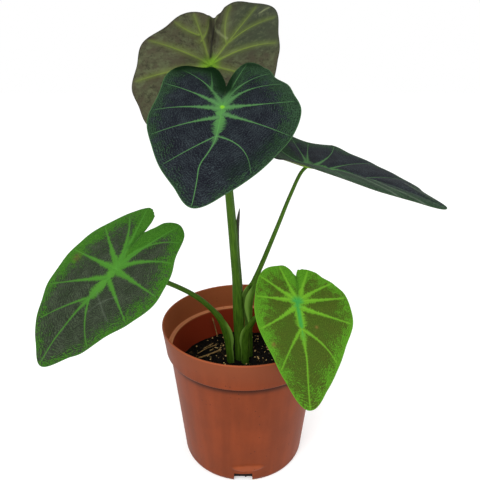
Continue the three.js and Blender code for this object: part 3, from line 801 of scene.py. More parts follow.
def turned(name, outline, steps):
    """A closed body: a half outline drawn point by point and spun about the upright axis."""
    deselect()
    bpy.ops.mesh.primitive_plane_add(size=1, location=(outline[0][0], 0, outline[0][1]))
    piece = named(name)
    bpy.ops.object.transform_apply(location=True)
    edit(piece)
    bpy.ops.mesh.merge(type="CENTER")
    for (r0, z0), (r1, z1) in zip(outline, outline[1:]):
        bpy.ops.mesh.extrude_region_move(TRANSFORM_OT_translate={"value": (r1 - r0, 0, z1 - z0)})
    bpy.ops.mesh.select_all(action="SELECT")
    bpy.ops.mesh.spin(steps=steps, angle=2 * math.pi, center=(0, 0, 0), axis=(0, 0, 1))
    weld(piece)
    return piece


def loft(name, sections):
    """A body through sections in millimetres, which weld closes, and each point's section and turn."""
    steps, around = sections.shape[:2]
    piece, along, turn = sheet(name, steps - 1, around)
    i = np.rint(along * (steps - 1)).astype(int)
    j = np.rint((1 - turn) * around).astype(int) % around
    reshape(piece, sections[i, j] * MM)
    return piece, i, j


def smooth_route(points, steps):
    """Places and directions at even lengths on the smooth curve through a few points."""
    knots = np.array(points, float)
    knots = np.vstack([2 * knots[0] - knots[1], knots, 2 * knots[-1] - knots[-2]])
    gaps = np.sqrt(np.linalg.norm(np.diff(knots, axis=0), axis=1))
    t = np.linspace(0, 1, 40, endpoint=False)[:, None]
    dense = []
    for i in range(1, len(knots) - 2):
        p0, p1, p2, p3 = knots[i - 1 : i + 3]
        d0, d1, d2 = gaps[i - 1 : i + 2]
        leaving = d1 * ((p1 - p0) / d0 - (p2 - p0) / (d0 + d1) + (p2 - p1) / d1)
        arriving = d1 * ((p2 - p1) / d1 - (p3 - p1) / (d1 + d2) + (p3 - p2) / d2)
        dense.append(hermite(t, p1, p2, leaving, arriving))
    dense = np.vstack([*dense, knots[-2:-1]])
    length = np.concatenate([[0], np.cumsum(np.linalg.norm(np.diff(dense, axis=0), axis=1))])
    even = np.linspace(0, length[-1], steps + 1)
    route = np.stack([np.interp(even, length, dense[:, k]) for k in range(3)], axis=1)
    return route, unit(np.gradient(route, axis=0))


# Pot


def pot_outline(sizes):
    """Half outline of the pot from the middle of its foot, up the outside and down the inside."""
    wall = sizes.wall
    band_foot = sizes.height - sizes.band
    rim = sizes.rim_radius
    floor = sizes.floor + wall
    inner_foot = sizes.foot - FOOT_WALL
    waist = (0.5 * (sizes.body_foot + sizes.body_top), 0.5 * (FOOT_RISE + band_foot))
    outline = [(0, 0), (sizes.pad, 0)]
    outline += [(sizes.pad + FLOOR_SLOPE, sizes.floor), (inner_foot, sizes.floor)]
    outline += [(inner_foot, 0.0004), (inner_foot + 0.0003, 0)]
    outline += arc((sizes.foot, FOOT_RISE), (sizes.body_foot - sizes.foot, FOOT_RISE), -80, 0, 7)
    for z in np.linspace(*CLOSE_RINGS):
        share = (z - FOOT_RISE) / (band_foot - FOOT_RISE)
        outline.append((sizes.body_foot + share * (sizes.body_top - sizes.body_foot), z))
    outline += [waist]
    outline += arc((sizes.body_top + CORNER, band_foot - CORNER), (CORNER, CORNER), 180, 90, 4)
    outer, up = BAND_CORNER
    outline += arc((rim - sizes.slim - outer, band_foot + up), BAND_CORNER, -80, 0, 5)
    outline += [(rim - 0.55 * sizes.slim, band_foot + 0.5 * sizes.band)]
    lip = RIM_WALL / 2
    outline += arc((rim - lip, sizes.height - lip), (lip, lip), 0, 180, 10)
    inner_rim = rim - RIM_WALL
    outline += [(inner_rim - 0.5 * sizes.slim, band_foot + 0.5 * sizes.band)]
    corner = LEDGE_TOP_CORNER
    outline += arc((inner_rim - sizes.slim - 0.0006, sizes.ledge + corner), (corner, corner), 0, -90, 5)
    corner = LEDGE_CORNER
    outline += arc((sizes.body_top - wall, sizes.ledge - corner), (corner, corner), 90, 180, 4)
    outline += [(waist[0] - wall, waist[1])]
    corner = FLOOR_CORNER
    outline += arc((sizes.body_foot - wall - corner, floor + corner), (corner, corner), 0, -90, 4)
    outline += [(sizes.pad + FLOOR_SLOPE / 2, floor), (sizes.pad - FLOOR_SLOPE / 2, wall), (0, wall)]
    return outline


def block(name, reach, level, turn, size):
    """A block across the foot, at a turn about the upright axis."""
    deselect()
    where = (reach * math.cos(turn), reach * math.sin(turn), level)
    bpy.ops.mesh.primitive_cube_add(size=1, location=where, rotation=(0, 0, turn))
    piece = named(name)
    piece.scale = size
    bpy.ops.object.transform_apply(location=True, rotation=True, scale=True)
    return piece


def bevel(piece, offset, segments):
    """Rounds or cuts off all the edges of a piece."""
    edit(piece)
    bpy.ops.mesh.bevel(offset=offset, segments=segments, affect="EDGES")
    bpy.ops.object.mode_set(mode="OBJECT")


def combine(piece, other, operation):
    """Cuts another body out of a piece or joins it on, and removes it."""
    apply_modifier(piece, "BOOLEAN", operation=operation, object=other, solver="EXACT")
    bpy.data.objects.remove(other)


def cut_drains(pot, sizes):
    """Drills the drain holes through the floor."""
    for i in range(sizes.drains):
        turn = (i + 0.5) / sizes.drains * 2 * math.pi
        where = (DRAIN_CIRCLE * math.cos(turn), DRAIN_CIRCLE * math.sin(turn), sizes.floor + sizes.wall / 2)
        deselect()
        bpy.ops.mesh.primitive_cylinder_add(
            vertices=32, radius=DRAIN_RADIUS, depth=4 * sizes.wall, location=where
        )
        combine(pot, named("drain"), "DIFFERENCE")


def cut_notches(pot, sizes):
    """Cuts the notches through the foot ring, each with a slot into the pot above it."""
    for turn in NOTCH_TURNS:
        for radius, measures in ((sizes.foot, NOTCH_CUTTER), (sizes.body_foot, SLOT_CUTTER)):
            past, depth, height, rounding = measures
            cutter = block("notch", radius + past, 0, turn, (depth, sizes.notch, 2 * height))
            bevel(cutter, rounding, 3)
            combine(pot, cutter, "DIFFERENCE")


def emboss(piece, sizes):
    """Raises a shallow lens on the body above each notch."""
    points = places(piece)
    radius = np.hypot(points[:, 0], points[:, 1])
    turn = np.arctan2(points[:, 1], points[:, 0])
    outside = radius > sizes.body_foot - 0.0003
    for notch in NOTCH_TURNS:
        across = np.angle(np.exp(1j * (turn - notch - LENS_TURN))) * sizes.body_foot
        up = points[:, 2] - LENS_LEVEL
        lens = (across / LENS_HALF_WIDTH) ** 2 + (up / LENS_HALF_HEIGHT) ** 2
        lift = sizes.emboss * (1 - ease(0.55, 1.05, lens)) * outside
        points[:, 0] += lift * np.cos(turn)
        points[:, 1] += lift * np.sin(turn)
    reshape(piece, points)


def add_ribs(pot, sizes):
    """Joins on the stiffening ribs under the floor, which show through the notches."""
    size = (sizes.foot - sizes.pad - 0.003, RIB_WALL, 0.9 * sizes.floor)
    level = 0.55 * sizes.floor + 0.0006
    for turn in NOTCH_TURNS:
        rib = block("rib", (sizes.pad + sizes.foot) / 2, level, turn + RIB_TURN, size)
        combine(pot, rib, "UNION")


class AddPot(bpy.types.Operator):
    """Spins the thin pot, raises its lenses, cuts its drain holes and notches and adds its ribs"""

    bl_idname = "plant.add_pot"
    bl_label = "Add pot"

    def execute(self, context):
        sizes = context.scene.plant_pot
        pot = turned("moulded_pot", pot_outline(sizes), sizes.steps)
        emboss(pot, sizes)
        cut_drains(pot, sizes)
        cut_notches(pot, sizes)
        add_ribs(pot, sizes)
        smooth(pot, 32)
        dress(pot, pot_finish(context.scene.plant_colours, sizes))
        settle(pot, "pot_plastic", "pot")
        return {"FINISHED"}


def pot_finish(colours, sizes):
    """Terracotta brown moulded plastic: faint flow streaks, specks of peat, duller inside.

    Light and shade are painted on: the band paler than the body, a painted shadow under the band,
    the inside painted paler with painted shade under the ledge, painted highlights on the ledge, the rim
    and the lenses, and painted shade in the slots over the notches.
    """
    finish = Finish("moulded_plastic", Specular_IOR_Level=0.08)
    place = finish.place()
    x, y, z = finish.parts(place)
    radius = (x * x + y * y) ** 0.5
    band_foot = sizes.height - sizes.band
    taper = (sizes.body_top - sizes.body_foot) / (band_foot - FOOT_RISE)
    rounding = (1 - z / FOOT_RISE).at_least(0.0)
    foot = sizes.foot + (sizes.body_foot - sizes.foot) * (1 - rounding * rounding).at_least(0.0) ** 0.5
    body = foot + (z - FOOT_RISE).at_least(0.0) * taper
    band = z.rise(band_foot - 0.001, band_foot + 0.001)
    outer = body + band * (sizes.rim_radius - (sizes.height - z) * (sizes.slim / sizes.band) - body)
    depth = outer - radius
    inside = depth.rise(0.0004, 0.0010)
    streak = finish.noise(finish.scaled(place, (1, 1, 0.06)), 160, detail=4)
    mottle = finish.noise(place, 34, detail=5, roughness=0.6)
    cells = finish.cells(place, 330)
    chosen = finish.parts(finish.cells(place, 330, output=1))[0].rise(0.80, 0.86)
    patchy = finish.noise(place, 22).rise(0.44, 0.62)
    speck = cells.fall(0.10, 0.22) * chosen * patchy
    tone = (0.5 * streak + 0.5 * mottle).rise(0.36, 0.66)
    body = finish.mix(tone, tinted(colours.pot, 0.93), tinted(colours.pot, 1.06))
    # Painted light and shade: the body is darker below the band, and the band paler towards the rim
    paler = z.rise(band_foot - 0.002, sizes.height)
    wall = finish.mix(paler, body, colours.pot_band_painted_light)
    # Painted shadow: a dark line on the body just under the band's foot, where shade falls under the
    # overhang
    corner = z.rise(band_foot - 0.0075, band_foot - CORNER) * (1 - band)
    wall = finish.mix(corner * 0.9, wall, tinted(colours.pot, 0.35))
    # Painted light and shade inside: paler near the rim, darker deep under the ledge where shade falls
    shade_under_ledge = z.fall(sizes.ledge - 0.0014, sizes.ledge - 0.0008)
    inner = finish.mix(shade_under_ledge, colours.pot_inside_painted_light, colours.pot_low_painted_shade)
    # Painted highlight: a lighter ring on the ledge, which faces up to the light
    ledge = z.rise(sizes.ledge - 0.0005, sizes.ledge - 0.0001)
    ledge = ledge * z.fall(sizes.ledge + 0.0001, sizes.ledge + 0.0006)
    inner = finish.mix(ledge, inner, colours.pot_ledge_highlight)
    colour = finish.mix(inside, wall, inner)
    # Painted highlight: a lighter line along the top of the rim
    lip = z.rise(sizes.height - 0.0010, sizes.height - 0.0004)
    colour = finish.mix(lip * 0.6, colour, tinted(colours.pot_band_painted_light, 1.35))
    # Painted shade: nearly black deep in the slots over the notches, under the floor
    in_slot = z.fall(SLOT_HEIGHT, SLOT_HEIGHT + 0.0008) * radius.rise(0.0435, 0.0450)
    slot_shade = depth.rise(0.0003, 0.0008) * in_slot
    colour = finish.mix(slot_shade, colour, colours.pot_slot_shade)
    # Painted highlight: the raised lens over each notch is painted lighter
    turn = finish.maths("ARCTAN2", y, x)
    third = 2 * math.pi / 3
    from_lens = finish.maths("WRAP", turn + (math.pi / 2 - LENS_TURN), third / 2, -third / 2)
    from_lens = from_lens * sizes.body_foot
    lens = (from_lens / LENS_HALF_WIDTH) ** 2 + ((z - LENS_LEVEL) / LENS_HALF_HEIGHT) ** 2
    colour = finish.mix(lens.fall(0.5, 1.1) * (1 - inside) * 0.5, colour, tinted(colours.pot_band_painted_light, 1.3))
    dust = z.fall(0.0, 0.010) * mottle.rise(0.45, 0.7) * 0.3
    colour = finish.mix(speck * 0.75 + dust, colour, colours.pot_speck)
    grain = finish.noise(place, 1500, detail=3)
    height = 0.6 * grain + 0.5 * speck + 0.6 * streak
    rough = 0.42 + 0.10 * mottle + 0.2 * inside
    return finish.surface(colour, rough, height, 0.00008)


# Soil


def wall_radius(sizes, z):
    """Inner radius of the pot's body at a height, in millimetres."""
    rise = FOOT_RISE / MM
    share = (z - rise) / ((sizes.height - sizes.band) / MM - rise)
    return (sizes.body_foot + share * (sizes.body_top - sizes.body_foot) - sizes.wall) / MM


def soil_height(soil, x, y):
    """Height of the peat: a low mound round the stalks with waves and crumbs, in millimetres."""
    radius = np.hypot(x, y)
    mound = soil.mound / MM * (1 - ease(6, 46, radius))
    relief = np.sin(0.31 * x + 1.1) * np.cos(0.27 * y - 0.6)
    relief = relief + 0.6 * np.sin(0.72 * x - 0.55 * y + 2.3) + 0.5 * np.cos(0.95 * y + 0.8 * x)
    crumbs = np.sin(1.7 * x + 0.9 * y) * np.cos(1.9 * y - 0.7 * x + 1) + 0.7 * np.sin(3.1 * x - 2.3 * y)
    crumbs = crumbs + 0.5 * np.sin(4.3 * y + 2.9 * x + 0.5)
    return SOIL_LEVEL + mound + 0.45 * relief + 0.25 * soil.roughness / MM * crumbs


def peat_body(soil, pot):
    """The peat as one closed body in the pot. Its underside follows the pad and the channel of the floor."""
    edge = wall_radius(pot, SOIL_LEVEL) - SOIL_GAP
    floor = (pot.floor + pot.wall) / MM + SOIL_GAP
    foot = wall_radius(pot, floor) - SOIL_GAP
    pad = pot.pad / MM
    over_pad = pot.wall / MM + 0.4
    underside = (
        (0, over_pad), (pad - 1.4, over_pad), (pad + 1.5, floor), (foot - 2, floor), (foot, floor + 2)
    )
    circle = round_points(np.linspace(0, 2 * math.pi, PEAT_SPOKES, endpoint=False))
    rings = [np.column_stack([circle * radius, np.full(PEAT_SPOKES, z)]) for radius, z in underside]
    for share in np.linspace(1, 0, PEAT_RINGS):
        flat = circle * edge * share
        rings.append(np.column_stack([flat, soil_height(soil, flat[:, 0], flat[:, 1])]))
    piece = loft("peat", np.array(rings))[0]
    weld(piece)
    keep(piece, tone=np.zeros(len(piece.data.vertices)))
    return piece


def crumb_model(kind):
    """One shape of the mix: a rounded crumb or an angular chip 1 mm in radius, or a fibre 6 mm long."""
    deselect()
    if kind == "crumb":
        bpy.ops.mesh.primitive_uv_sphere_add(segments=8, ring_count=5, radius=1)
        model = named(kind)
        points = places(model)
        lumps = np.sin(points @ np.array([3.1, 1.7, 2.3])) + np.sin(points @ np.array([-2.2, 3.7, 1.9]))
        reshape(model, points * (1 + 0.16 * lumps[:, None]) * np.array([1.25, 0.95, 0.8]))
    elif kind == "chip":
        bpy.ops.mesh.primitive_cube_add(size=2)
        model = named(kind)
        bevel(model, 0.45, 1)
        reshape(model, places(model) * np.array([1.1, 0.75, 0.42]))
    else:
        bpy.ops.mesh.primitive_cylinder_add(vertices=6, radius=0.09, depth=6)
        model = named(kind)
        edit(model)
        bpy.ops.mesh.bisect(plane_co=(0, 0, 0), plane_no=(0, 0, 1))
        bpy.ops.object.mode_set(mode="OBJECT")
        points = places(model)
        points[:, 0] += 0.5 * (1 - (points[:, 2] / 3) ** 2)
        reshape(model, points[:, [2, 0, 1]])
    return model


def scatter(kind, random, soil, pot):
    """Copies of one small shape over the peat, as one mesh with a tone for each copy."""
    smallest, largest, height, first_tone = MIX[kind]
    model = crumb_model(kind)
    shape = places(model)
    faces = [tuple(face.vertices) for face in model.data.polygons]
    bpy.data.objects.remove(model)
    points = []
    tones = []
    joined = []
    edge = wall_radius(pot, SOIL_LEVEL) - 2.4
    while len(points) < getattr(soil, kind):
        radius = edge * math.sqrt(random.random())
        turn = random.random() * 2 * math.pi
        x = radius * math.cos(turn)
        y = radius * math.sin(turn)
        size = smallest + (largest - smallest) * random.random() ** 2.2
        tilt = random.normal(0, 0.45, 2)
        heading = random.random() * 2 * math.pi
        tone = random.random()
        if math.hypot(x - STALKS_MIDDLE[0], y - STALKS_MIDDLE[1]) < STALKS_REACH and size > 1:
            size = SMALL_CRUMB
        cos, sin = math.cos(heading), math.sin(heading)
        spin = np.array([[cos, -sin, 0], [sin, cos, 0], [0, 0, 1]])
        lean = np.array([[1, 0, tilt[0]], [0, 1, tilt[1]], [-tilt[0], -tilt[1], 1]])
        copy = shape * size @ unit(lean).T @ spin.T
        ground = soil_height(soil, np.array([x]), np.array([y]))[0]
        joined += [tuple(v + len(points) * len(shape) for v in face) for face in faces]
        points.append(copy + np.array([x, y, ground + height * size]))
        tones.append(np.full(len(shape), first_tone + TONE_SPREAD * tone))
    mesh = bpy.data.meshes.new(kind)
    mesh.from_pydata((np.vstack(points) * MM).tolist(), [], joined)
    piece = bpy.data.objects.new(kind, mesh)
    bpy.context.collection.objects.link(piece)
    keep(piece, tone=np.concatenate(tones))
    return piece


class AddSoil(bpy.types.Operator):
    """Fills the pot with crumbly peat, bark chips, grit and fibres, and lays the straws on it"""

    bl_idname = "plant.add_soil"
    bl_label = "Add soil"

    def execute(self, context):
        soil = context.scene.plant_soil
        pot = context.scene.plant_pot
        colours = context.scene.plant_colours
        random = np.random.default_rng(soil.seed)
        peat = peat_body(soil, pot)
        smooth(peat)
        parts = [scatter(kind, random, soil, pot) for kind in MIX]
        join(peat, *parts)
        dress(peat, soil_finish(colours))
        settle(peat, "peat_mix", "soil")
        straws = self.straws(colours)
        settle(straws, "peat_mix")
        return {"FINISHED"}

    def straws(self, colours):
        made = []
        step = np.arange(STRAW_STEPS + 1)
        ends = np.minimum(1, 0.25 + np.minimum(step, STRAW_STEPS - step) / 2)
        for number, (radius, points) in enumerate(STRAWS):
            route, ways = smooth_route(points, STRAW_STEPS)
            knot = 1 + 0.9 * np.exp(-(((step - KNOT_STEP) / 1.4) ** 2)) * (number == 0)
            made.append(round_stem(f"straw_{number}", route, ways, radius * knot * ends, 10))
        join(*made)
        straws = named("straws")
        smooth(straws)
        dress(straws, straw_finish(colours))
        return straws


def round_sections(route, ways, aside, angles, radii):
    """Sections round a route, each starting square to its way and to the direction aside."""
    across = unit(np.cross(ways, aside))
    other = np.cross(ways, across)
    ring = np.cos(angles)[..., None] * across[:, None] + np.sin(angles)[..., None] * other[:, None]
    return route[:, None] + ring * radii[..., None]


def round_stem(name, route, ways, radii, sides):
    """A round body along a route, in millimetres."""
    angles = np.linspace(0, 2 * math.pi, sides, endpoint=False)
    piece = loft(name, round_sections(route, ways, (0.2, 0.1, 1.0), angles, radii[:, None]))[0]
    weld(piece)
    return piece


def soil_finish(colours):
    """Damp peat: near-black crumbs, brown bark, golden grit and pale fibres, by the tone of each."""
    finish = Finish("damp_peat", Specular_IOR_Level=0.12)
    place = finish.place()
    tone = finish.attribute("tone")
    fine = finish.noise(place, 1400, detail=4, roughness=0.7)
    stops = [
        (0.0, colours.peat),
        (0.44, tinted(colours.peat, 1.4)),
        (0.50, tinted(colours.bark, 0.6)),
        (0.60, tinted(colours.bark, 0.8)),
        (0.65, tinted(colours.grit, 0.85)),
        (0.72, colours.grit),
        (0.80, tinted(colours.bark, 0.7)),
        (1.0, colours.straw),
    ]
    ramp = finish.node("ShaderNodeValToRGB", {"stops": stops}, {0: tone})
    colour = finish.mix(fine.rise(0.35, 0.75) * 0.55, ramp, tinted(colours.peat, 0.4))
    height = fine + 0.5 * finish.noise(place, 420, detail=3)
    return finish.surface(colour, 0.92 - 0.2 * tone, height, 0.0004)


def straw_finish(colours):
    """Dry straw: pale, with darker grain and paler stretches."""
    finish = Finish("dry_straw", Specular_IOR_Level=0.3)
    place = finish.place()
    grain = finish.noise(place, 1200, detail=3)
    broad = finish.noise(place, 260)
    colour = finish.mix(grain.rise(0.3, 0.7), tinted(colours.straw, 0.62), colours.straw)
    colour = finish.mix(broad.rise(0.5, 0.75), colour, tinted(colours.straw, 1.35))
    return finish.surface(colour, 0.75, grain, 0.0001)


# Corm


class AddCorm(bpy.types.Operator):
    """Turns the small tuber under the soil with the ring scars of its old leaves"""

    bl_idname = "plant.add_corm"
    bl_label = "Add corm"

    def execute(self, context):
        low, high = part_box("corm")
        middle = (low + high) / 2
        reach = (high.x - low.x) / 2 - 0.0004
        depth = (high.z - low.z) / 2
        outline = [(0, -depth)]
        steps = 39
        for i in range(1, steps + 1):
            angle = -math.pi / 2 + i / steps * (math.pi / 2 + math.pi / 5)
            scar = 1 - 0.018 * (0.5 + 0.5 * math.cos(SCARS * i / steps * 2 * math.pi)) ** 3
            outline.append((reach * scar * math.cos(angle), depth * math.sin(angle)))
        outline += [(0.0116, depth - 0.0003), (0.0104, depth), (0, depth)]
        corm = turned("tuber", outline, 72)
        reshape(corm, places(corm) + np.array(middle))
        smooth(corm, 50)
        dress(corm, corm_finish(context.scene.plant_colours))
        settle(corm, "corm_skin", "corm")
        return {"FINISHED"}


def corm_finish(colours):
    """Brown papery skin in rings."""
    finish = Finish("papery_skin", Specular_IOR_Level=0.3)
    place = finish.place()
    rings = finish.noise(finish.scaled(place, (0.15, 0.15, 1)), 900, detail=4)
    flakes = finish.noise(place, 300, detail=5, roughness=0.7)
    tone = 0.5 * rings + 0.5 * flakes
    colour = finish.mix(tone.rise(0.35, 0.65), tinted(colours.corm, 0.6), tinted(colours.corm, 1.2))
    return finish.surface(colour, 0.8, tone, 0.0005)


# Blades


def trimmed(leaf, angle):
    """The small waves of the margin at angles from the tip."""
    knots = np.array(leaf["trim"], float)
    knots = np.vstack([knots[-1] - (360, 0), knots, knots[0] + (360, 0)])
    i = np.clip(np.searchsorted(knots[:, 0], angle, side="right") - 1, 0, len(knots) - 2)
    share = (angle - knots[i, 0]) / (knots[i + 1, 0] - knots[i, 0])
    return knots[i, 1] + (knots[i + 1, 1] - knots[i, 1]) * ease(0, 1, share)


def margin_reach(leaf, angle):
    """Reach of the margin at angles from the tip, positive on the left half."""
    knots = np.array([0, *MARGIN_ANGLES, 180.0])
    reach = np.zeros_like(angle)
    for half, chosen in ((leaf["left"], angle >= 0), (leaf["right"], angle < 0)):
        ends = np.array([leaf["tip"], *half, leaf["notch"]], float)
        slope = np.zeros_like(ends)
        slope[1:-1] = (ends[2:] - ends[:-2]) / (knots[2:] - knots[:-2])
        slope[-1] = (ends[-1] - ends[-2]) / (knots[-1] - knots[-2])
        at = np.abs(angle[chosen])
        i = np.clip(np.searchsorted(knots, at, side="left") - 1, 0, len(knots) - 2)
        span = knots[i + 1] - knots[i]
        t = (at - knots[i]) / span
        reach[chosen] = hermite(t, ends[i], ends[i + 1], span * slope[i], span * slope[i + 1])
    return reach + trimmed(leaf, angle) + MARGIN_FULLER


def flat_point(leaf, share, angle):
    """A place on the flat blade: how far to the left and how far towards the tip."""
    reach = share * margin_reach(leaf, angle)
    theta = np.radians(angle)
    return np.stack([reach * np.sin(theta), reach * np.cos(theta)], axis=-1)


def blade_point(leaf, share, angle):
    """The same place on the folded, waved and drooping blade, in the leaf's own frame."""
    flat = flat_point(leaf, share, angle)
    along = flat[..., 1]
    forward = np.maximum(along / leaf["tip"], 0)
    across = flat[..., 0] + leaf["sweep"] * forward**2
    fold = leaf["fold"] + (leaf["fold_at_tip"] - leaf["fold"]) * np.minimum(forward, 1)
    fold = np.radians(fold - leaf["lobe_flatter"] * ease(-2, 14, -along) * (across > 0))
    beside = np.sqrt(across**2 + MIDRIB_ROUNDING**2) - MIDRIB_ROUNDING
    ripple = leaf["wave"] * share**3 * np.sin(5 * np.radians(angle) + leaf["tip"])
    height = beside * np.tan(fold) - MARGIN_CURL * (across / CURL_REACH) ** 2 + ripple
    behind = np.sqrt(np.minimum(along, 0) ** 2 + MIDRIB_ROUNDING**2) - MIDRIB_ROUNDING
    height = height + behind * math.tan(math.radians(leaf["lobe_lift"])) * ease(-12, 12, across)
    droop = np.radians(leaf["tip_droop"]) / leaf["tip"]
    bend = np.where(along > 0, droop, np.radians(leaf["lobe_droop"]) / CURL_REACH)
    turn = bend * along
    forth = np.sin(turn) / bend + height * np.sin(turn)
    up = -(1 - np.cos(turn)) / bend + height * np.cos(turn)
    return np.stack([across, forth, up], axis=-1)


def blade_normal(leaf, share, angle):
    step = 0.01
    share = np.maximum(share, 2 * step)
    outwards = blade_point(leaf, share + step, angle) - blade_point(leaf, share - step, angle)
    before = np.maximum(angle - 0.5, -180)
    after = np.minimum(angle + 0.5, 180)
    around = blade_point(leaf, share, after) - blade_point(leaf, share, before)
    return unit(np.cross(around, outwards))


def leaf_axes(leaf):
    """The leaf's own frame as rows: across to its left, along to its tip, out of its upper face."""
    heading, pitch, roll = (math.radians(leaf[key]) for key in ("heading", "pitch", "roll"))
    tip = np.array([
        math.sin(heading) * math.cos(pitch), -math.cos(heading) * math.cos(pitch), -math.sin(pitch)
    ])
    level = np.array([-math.cos(heading), -math.sin(heading), 0])
    upper = np.cross(level, tip)
    across = level * math.cos(roll) + upper * math.sin(roll)
    out = upper * math.cos(roll) - level * math.sin(roll)
    return np.array([across, tip, out])


def bowed(start, end, bow, right):
    """A vein from start to end that bows towards the lobes."""
    way = unit(end - start)
    aside = np.array([way[1], -way[0]]) * (-1 if right else 1)
    middle = (start + end) / 2 + 2 * bow * aside
    t = np.linspace(0, 1, VEIN_STEPS + 1)[:, None]
    return (1 - t) ** 2 * start + 2 * t * (1 - t) * middle + t**2 * end


def vein_lines(leaf):
    """Every vein of a blade as a line of flat places, with its strength at its root and at its end."""
    knots = np.array(leaf["midrib"], float)
    along = np.linspace(0, knots[-1, 1], 40)
    place = np.interp(along, knots[:, 1], knots[:, 0])
    soft = np.convolve(np.pad(place, 2, mode="edge"), np.full(5, 0.2), mode="valid")
    midrib = np.stack([soft - soft[0] * (1 - along / along[-1]), along], axis=1)
    lines = [(midrib, *MIDRIB_STRENGTHS)]
    for root, angle, bow in leaf["veins"]:
        start = np.array([np.interp(root, midrib[:, 1], midrib[:, 0]) if root > 0 else 0, root])
        end = flat_point(leaf, np.array(VEIN_END), np.array([float(angle)]))[0]
        lines.append((bowed(start, end, bow, angle < 0), 0.72 - 0.006 * max(root, 0), 0.14))
    for start, angle, bow in leaf["twigs"]:
        end = flat_point(leaf, np.array(VEIN_END), np.array([float(angle)]))[0]
        lines.append((bowed(np.array(start, float), end, bow, angle < 0), *TWIG_STRENGTHS))
    return lines


def to_segment(flat, start, step):
    """For each flat place: its share along a segment and its distance to it."""
    offset = flat - start
    share = np.clip(offset @ step / (step @ step), 0, 1)
    gap = offset - share[:, None] * step
    return share, np.hypot(gap[:, 0], gap[:, 1])


def to_line(flat, line):
    """For each flat place: its distance to a line through places."""
    far = np.full(len(flat), FAR)
    for start, step in zip(line, np.diff(line, axis=0)):
        far = np.minimum(far, to_segment(flat, start, step)[1])
    return far


def vein_marks(leaf, flat):
    """For each flat place: signed and plain distance to the nearest vein, its strength, length along it."""
    far = np.full(len(flat), FAR)
    side = np.zeros(len(flat))
    fade = np.zeros(len(flat))
    length = np.zeros(len(flat))
    for number, (line, strong, weak) in enumerate(vein_lines(leaf)):
        steps = np.diff(line, axis=0)
        spans = np.linalg.norm(steps, axis=1)
        total = spans.sum()
        done = 0.0
        for start, step, span in zip(line, steps, spans):
            share, distance = to_segment(flat, start, step)
            offset = flat - start
            nearer = distance < far
            turn = np.sign(step[0] * offset[:, 1] - step[1] * offset[:, 0])
            at = done + share * span
            far = np.where(nearer, distance, far)
            side = np.where(nearer, distance * turn, side)
            fade = np.where(nearer, strong + (weak - strong) * at / total, fade)
            length = np.where(nearer, at + VEIN_SHIFT * number, length)
            done += span
    return side, far, fade, length


def margin_marks(leaf, flat, angle):
    """For each flat place: its distance in from the margin, and that beyond the green border there."""
    inset = to_line(flat, flat_point(leaf, np.ones(361), np.linspace(-180, 180, 361)))
    knots = np.array(leaf["zone"], float)
    return inset, inset - np.interp(angle, knots[:, 0], knots[:, 1])


def spot_marks(leaf, flat):
    """How much of an old spot each flat place has."""
    mark = np.zeros(len(flat))
    for u, v, radius, strength in leaf["spots"]:
        away = np.hypot(flat[:, 0] - u, flat[:, 1] - v) / radius
        mark = np.maximum(mark, strength * np.exp(-(away**2)))
    return mark


def shade_and_streak_marks(leaf, flat):
    """How pale (streaks, partly painted sheen, above 0) or dark with painted shade (below 0) each flat place
    is.
    """
    mark = np.zeros(len(flat))
    for strength, width, route in leaf["marks"]:
        far = to_line(flat, np.array(route, float))
        mark += strength * np.exp(-((far / width) ** 2))
    return np.clip(mark, -1, 1)


def blade(leaf, sizes):
    """One blade: its upper face with grooves and swells, and a lower face with raised ribs."""
    piece, share, turn = sheet("leaf_" + leaf["name"], sizes.rings, sizes.spokes)
    angle = 180 - 360 * turn
    flat = flat_point(leaf, share, angle)
    side, far, fade, length = vein_marks(leaf, flat)
    inset, edge = margin_marks(leaf, flat, angle)
    rib = fade * np.exp(-((far / (0.6 + 0.9 * fade)) ** 2))
    hub = np.exp(-(flat**2).sum(axis=1) / HUB_RADIUS**2)
    inner = ease(0, THIN_MARGIN, inset)
    swell = sizes.swell / MM * (1 - np.exp(-((far / SWELL_REACH) ** 2))) * inner
    lift = swell - sizes.groove / MM * rib
    pleats = leaf["pleat"] * ease(8, 24, -flat[:, 1]) * (1 - ease(2, 7.5, np.abs(flat[:, 0])))
    lift = lift + PLEAT_HEIGHT * pleats * np.sin(flat[:, 0] * 1.3 + 0.6)
    normal = blade_normal(leaf, share, angle)
    points = blade_point(leaf, share, angle) + normal * lift[:, None]
    reshape(piece, (points @ leaf_axes(leaf) + np.array(leaf["attach"])) * MM)
    thick = sizes.thickness / MM * (0.6 + 0.4 * inner) + sizes.rib / MM * np.maximum(rib, hub)
    keep(piece, side=side, far=far, fade=fade, length=length, inset=inset, edge=edge, pleats=pleats)
    keep(piece, spot=spot_marks(leaf, flat), mark=shade_and_streak_marks(leaf, flat), thick=thick)
    keep(piece, flat=np.column_stack([flat, RING_SPAN * share]))
    edit(piece)
    bpy.ops.mesh.remove_doubles(threshold=WELD)
    bpy.ops.object.mode_set(mode="OBJECT")
    give_thickness(piece)
    smooth(piece)
    return piece


def give_thickness(piece):
    """Turns the upper face into a closed blade, as thick as each point says."""
    thick = np.zeros(len(piece.data.vertices))
    piece.data.attributes["thick"].data.foreach_get("value", thick)
    group = piece.vertex_groups.new(name="thick_share")
    most = float(thick.max())
    for index, value in enumerate(thick):
        group.add([index], value / most, "REPLACE")
    dress(piece, None, None)
    apply_modifier(
        piece, "SOLIDIFY", thickness=most * MM, offset=-1, vertex_group=group.name,
        material_offset=1, material_offset_rim=1,
    )
    piece.vertex_groups.clear()


def leaf_marks(finish):
    """What a blade's mesh keeps: the millimetres from a vein, its strength and the feather across it."""
    side = finish.attribute("side")
    far = finish.attribute("far")
    fade = finish.attribute("fade")
    length = finish.attribute("length")
    distance = abs(side).at_least(far - 1.2)
    feather = finish.noise(finish.joined(length, side * 0.14, fade), 1.25, detail=3, roughness=0.6)
    return distance, fade, feather


